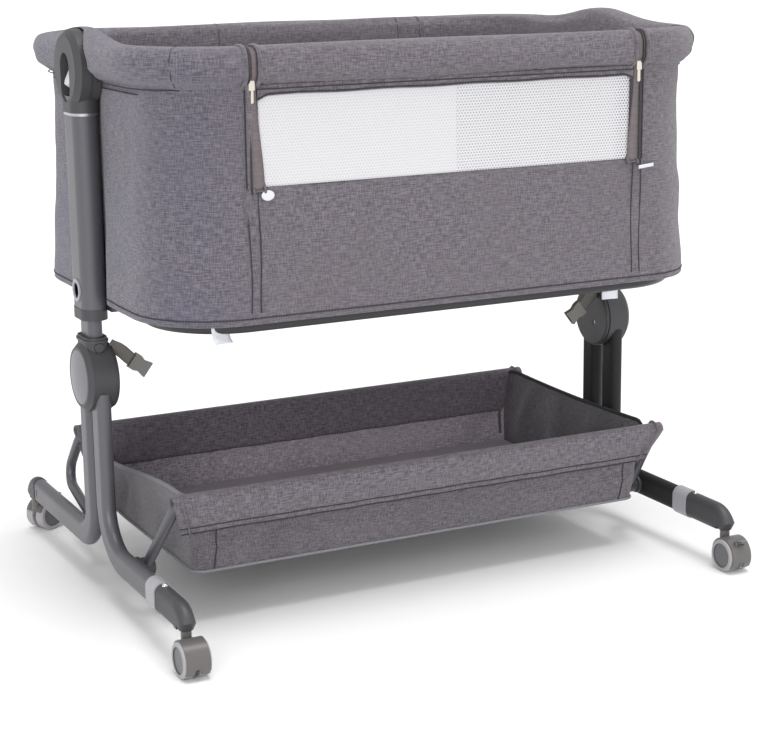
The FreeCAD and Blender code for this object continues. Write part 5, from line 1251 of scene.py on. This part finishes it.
    def trim(self, walls, plan):
        """Corded bottom edge, bound end-panel tops and the upright seams near the front corners."""
        line = outward(walls[1], 0.0010)
        cord = swept("basket_piping", line, ellipse(0.0021, 0.0021, 8), piping_cloth(), closed=True)
        dress(cord, "base")
        top = walls[-1]
        for sign, name in ((-1, "left"), (1, "right")):
            pick = (np.sign(plan.c) == sign) & (np.abs(plan.c) > 0.8)
            line = top[pick]
            line = line[np.argsort(line[:, 1])] + np.array([-sign * 0.0011, 0, 0])
            finish = piping_cloth() if sign < 0 else binding_tape()
            bound = swept(name + "_panel_binding", line, ellipse(0.0019, 0.0042, 10), finish)
            dress(bound, "base")
        pieces = []
        for sign in (-1, 1):
            for side in (-1, 1):
                aim = np.abs(plan.m * BASKET_SPAN + plan.f * 0.016 - sign * 0.343) + 5 * (plan.d * side < 0.99)
                line = walls[1:-6, int(np.argmin(aim))] + np.array([0, side * 0.0006, 0])
                pieces.append(swept("trim", line, ellipse(0.0011, 0.0009, 6), seam_thread(), up=(0, side, 0)))
        sewn("basket_seams", pieces, "base")


# ---------------------------------------------------------------- finishes of the rigid pieces

def wheel_coordinates(node, axle, axis):
    """Store each corner's distance from the axle, so that the tread ring follows the wheel."""
    data = node.data
    co = np.zeros(len(data.vertices) * 3)
    data.vertices.foreach_get("co", co)
    co = co.reshape(-1, 3) - axle
    axis = np.array(axis, float) / np.linalg.norm(axis)
    far = np.linalg.norm(co - (co @ axis)[:, None] * axis, axis=1)
    index = np.zeros(len(data.loops), np.int64)
    data.loops.foreach_get("vertex_index", index)
    layer = data.uv_layers.new(name="cloth")
    layer.data.foreach_set("uv", np.stack([0 * far[index], far[index]], -1).astype(np.float32).ravel())


class CRIB_OT_finishes(bpy.types.Operator):
    """Finishes of tubes, hubs, feet, casters and fittings"""
    bl_idname = "crib.finishes"
    bl_label = "Rigid finishes"

    def execute(self, context):
        groups = (
            (coated("grey_tube"), "left_front_foot_tube left_rear_foot_tube left_outer_post left_inner_post "
                                  "right_outer_post front_basket_tube rear_basket_tube"),
            # The right inner post and feet take the darker coat copy: painted shade.
            (coated("dark_tube"), "right_inner_post right_front_foot_tube right_rear_foot_tube"),
            (coated("black_tube"), "upper_frame_tubes lower_frame_tubes"),
            (moulded("dark_plastic"), "left_hub_housing right_hub_housing hub_inner_covers left_front_foot_end "
                                      "right_front_foot_end rear_foot_ends basket_brackets left_top_hub "
                                      "right_top_hub post_bushes frame_sockets left_front_neck_button "
                                      "left_rear_neck_button right_front_neck_button right_rear_neck_button"),
            (moulded("cap_plastic"), "hub_caps"),
            (moulded("light_plastic"), "foot_collars window_bezels"),
            # The lift levers take the white snap's plastic, lighter than their own light grey: painted light
            # against the shade on them.
            (moulded("button_plastic"), "left_lift_lever right_lift_lever"),
            (moulded("buckle_plastic"), "strap_buckles"),
            (moulded("hood_plastic"), "front_left_caster_housing front_right_caster_housing "
                                      "rear_left_caster_housing rear_right_caster_housing "
                                      "front_right_caster_brake rear_left_caster_brake"),
            (wheel_disc(), "front_left_caster_wheels front_right_caster_wheels rear_left_caster_wheels "
                           "rear_right_caster_wheels"),
            (metal("chrome"), "left_snap_pin right_snap_pin hub_rivets"),
            (metal("screw_steel"), "frame_screws post_rings"),
            (metal("nickel"), "left_zip_slider right_zip_slider"),
            (moulded("stiff_board"), "mattress_board"),
            (moulded("board_cloth"), "basket_board"),
            (moulded("sleeve_cloth"), "front_struts drop_rail"),
        )
        for finish, names in groups:
            for name in names.split():
                node = NODES[name]
                node.data.materials.clear()
                node.data.materials.append(finish)
        rolls = {j["child"]: j for j in frame["joints"]}
        for corner in ("front_left", "front_right", "rear_left", "rear_right"):
            joint = rolls[corner + "_wheels"]
            wheel_coordinates(NODES[corner + "_caster_wheels"], joint["pos_m"], joint["axis"])
        return {"FINISHED"}


# ---------------------------------------------------------------- camera, floor and light

PHOTO_WIDTH = 768.0      # pixels
FOCAL = 1873.0           # focal length, in pixels of the photograph
SENSOR = 36.0            # mm
CAMERA_AT = (-1.2575, -2.5801, 0.9709)
CAMERA_TURN = (26.564, 13.165, -0.776)      # yaw from +Y towards +X, pitch down and roll, in degrees
FLOOR_REACH = 70.0
WORLD_LIGHT = 0.72

# Lamps: name, direction towards the light, softness in degrees and strength.
LAMPS = (
    ("overhead", (0.05, -0.16, 1.0), 30, 1.75),
    ("key", (-0.62, -0.85, 0.38), 30, 1.10),
    ("fill", (0.9, -0.9, 0.50), 50, 0.30),
)


class CRIB_OT_stage(bpy.types.Operator):
    """Pale floor, soft studio light and the camera at the photograph's angle"""
    bl_idname = "crib.stage"
    bl_label = "Stage"

    def execute(self, context):
        scene = context.scene
        scene.view_settings.view_transform = "Standard"
        scene.view_settings.look = "None"
        lens = bpy.data.cameras.new("camera")
        lens.sensor_width = SENSOR
        lens.sensor_fit = "HORIZONTAL"
        lens.lens = SENSOR * FOCAL / PHOTO_WIDTH
        lens.clip_end = 200.0
        camera = bpy.data.objects.new("camera", lens)
        yaw, pitch, roll = (math.radians(a) for a in CAMERA_TURN)
        ahead = Vector((math.sin(yaw) * math.cos(pitch), math.cos(yaw) * math.cos(pitch), -math.sin(pitch)))
        right = Vector((math.cos(yaw), -math.sin(yaw), 0))
        up = right.cross(ahead)
        side = right * math.cos(roll) + up * math.sin(roll)
        top = -right * math.sin(roll) + up * math.cos(roll)
        camera.matrix_world = Matrix.Translation(CAMERA_AT) @ Matrix((side, top, -ahead)).transposed().to_4x4()
        scene.collection.objects.link(camera)
        scene.camera = camera

        spread = np.linspace(-FLOOR_REACH, FLOOR_REACH, 9)
        xx, yy = np.meshgrid(spread, spread, indexing="ij")
        floor = grid_piece(
            "floor", np.stack([xx, yy, 0 * xx], -1), moulded("floor"), np.stack([xx, yy], -1), out=(0, 0, 1))

        world = bpy.data.worlds.new("studio")
        world.use_nodes = True
        sky = world.node_tree.nodes["Background"].inputs
        sky[0].default_value = (1.0, 1.0, 1.0, 1.0)
        sky[1].default_value = WORLD_LIGHT
        scene.world = world
        for lamp in LAMPS:
            self.sun(*lamp)
        return {"FINISHED"}

    def sun(self, name, towards, soft, strength):
        light = bpy.data.lights.new(name, "SUN")
        light.energy = strength
        light.angle = math.radians(soft)
        lamp = bpy.data.objects.new(name, light)
        lamp.rotation_euler = Vector(towards).to_track_quat("Z", "Y").to_euler()
        bpy.context.scene.collection.objects.link(lamp)


# ---------------------------------------------------------------- panel and registration

class CRIB_PT_panel(bpy.types.Panel):
    bl_label = "Bedside sleeper crib"
    bl_idname = "CRIB_PT_panel"
    bl_space_type = "VIEW_3D"
    bl_region_type = "UI"
    bl_category = "Crib"

    def draw(self, context):
        for name, group in SETTINGS.items():
            box = self.layout.box()
            for field in group.__annotations__:
                box.prop(getattr(context.scene, name), field)
        for operator in OPERATORS:
            self.layout.operator(operator.bl_idname)


OPERATORS = (
    CRIB_OT_stage, CRIB_OT_finishes, CRIB_OT_tub, CRIB_OT_rim, CRIB_OT_drop_side, CRIB_OT_zips, CRIB_OT_tabs,
    CRIB_OT_mattress, CRIB_OT_straps, CRIB_OT_basket,
)
CLASSES = tuple(SETTINGS.values()) + OPERATORS + (CRIB_PT_panel,)


def register():
    for item in CLASSES:
        bpy.utils.register_class(item)
    for name, group in SETTINGS.items():
        setattr(bpy.types.Scene, name, bpy.props.PointerProperty(type=group))


def unregister():
    for name in SETTINGS:
        delattr(bpy.types.Scene, name)
    for item in reversed(CLASSES):
        bpy.utils.unregister_class(item)


def main():
    register()
    for operator in OPERATORS:
        group, name = operator.bl_idname.split(".")
        getattr(getattr(bpy.ops, group), name)()


if __name__ == "__main__":
    main()
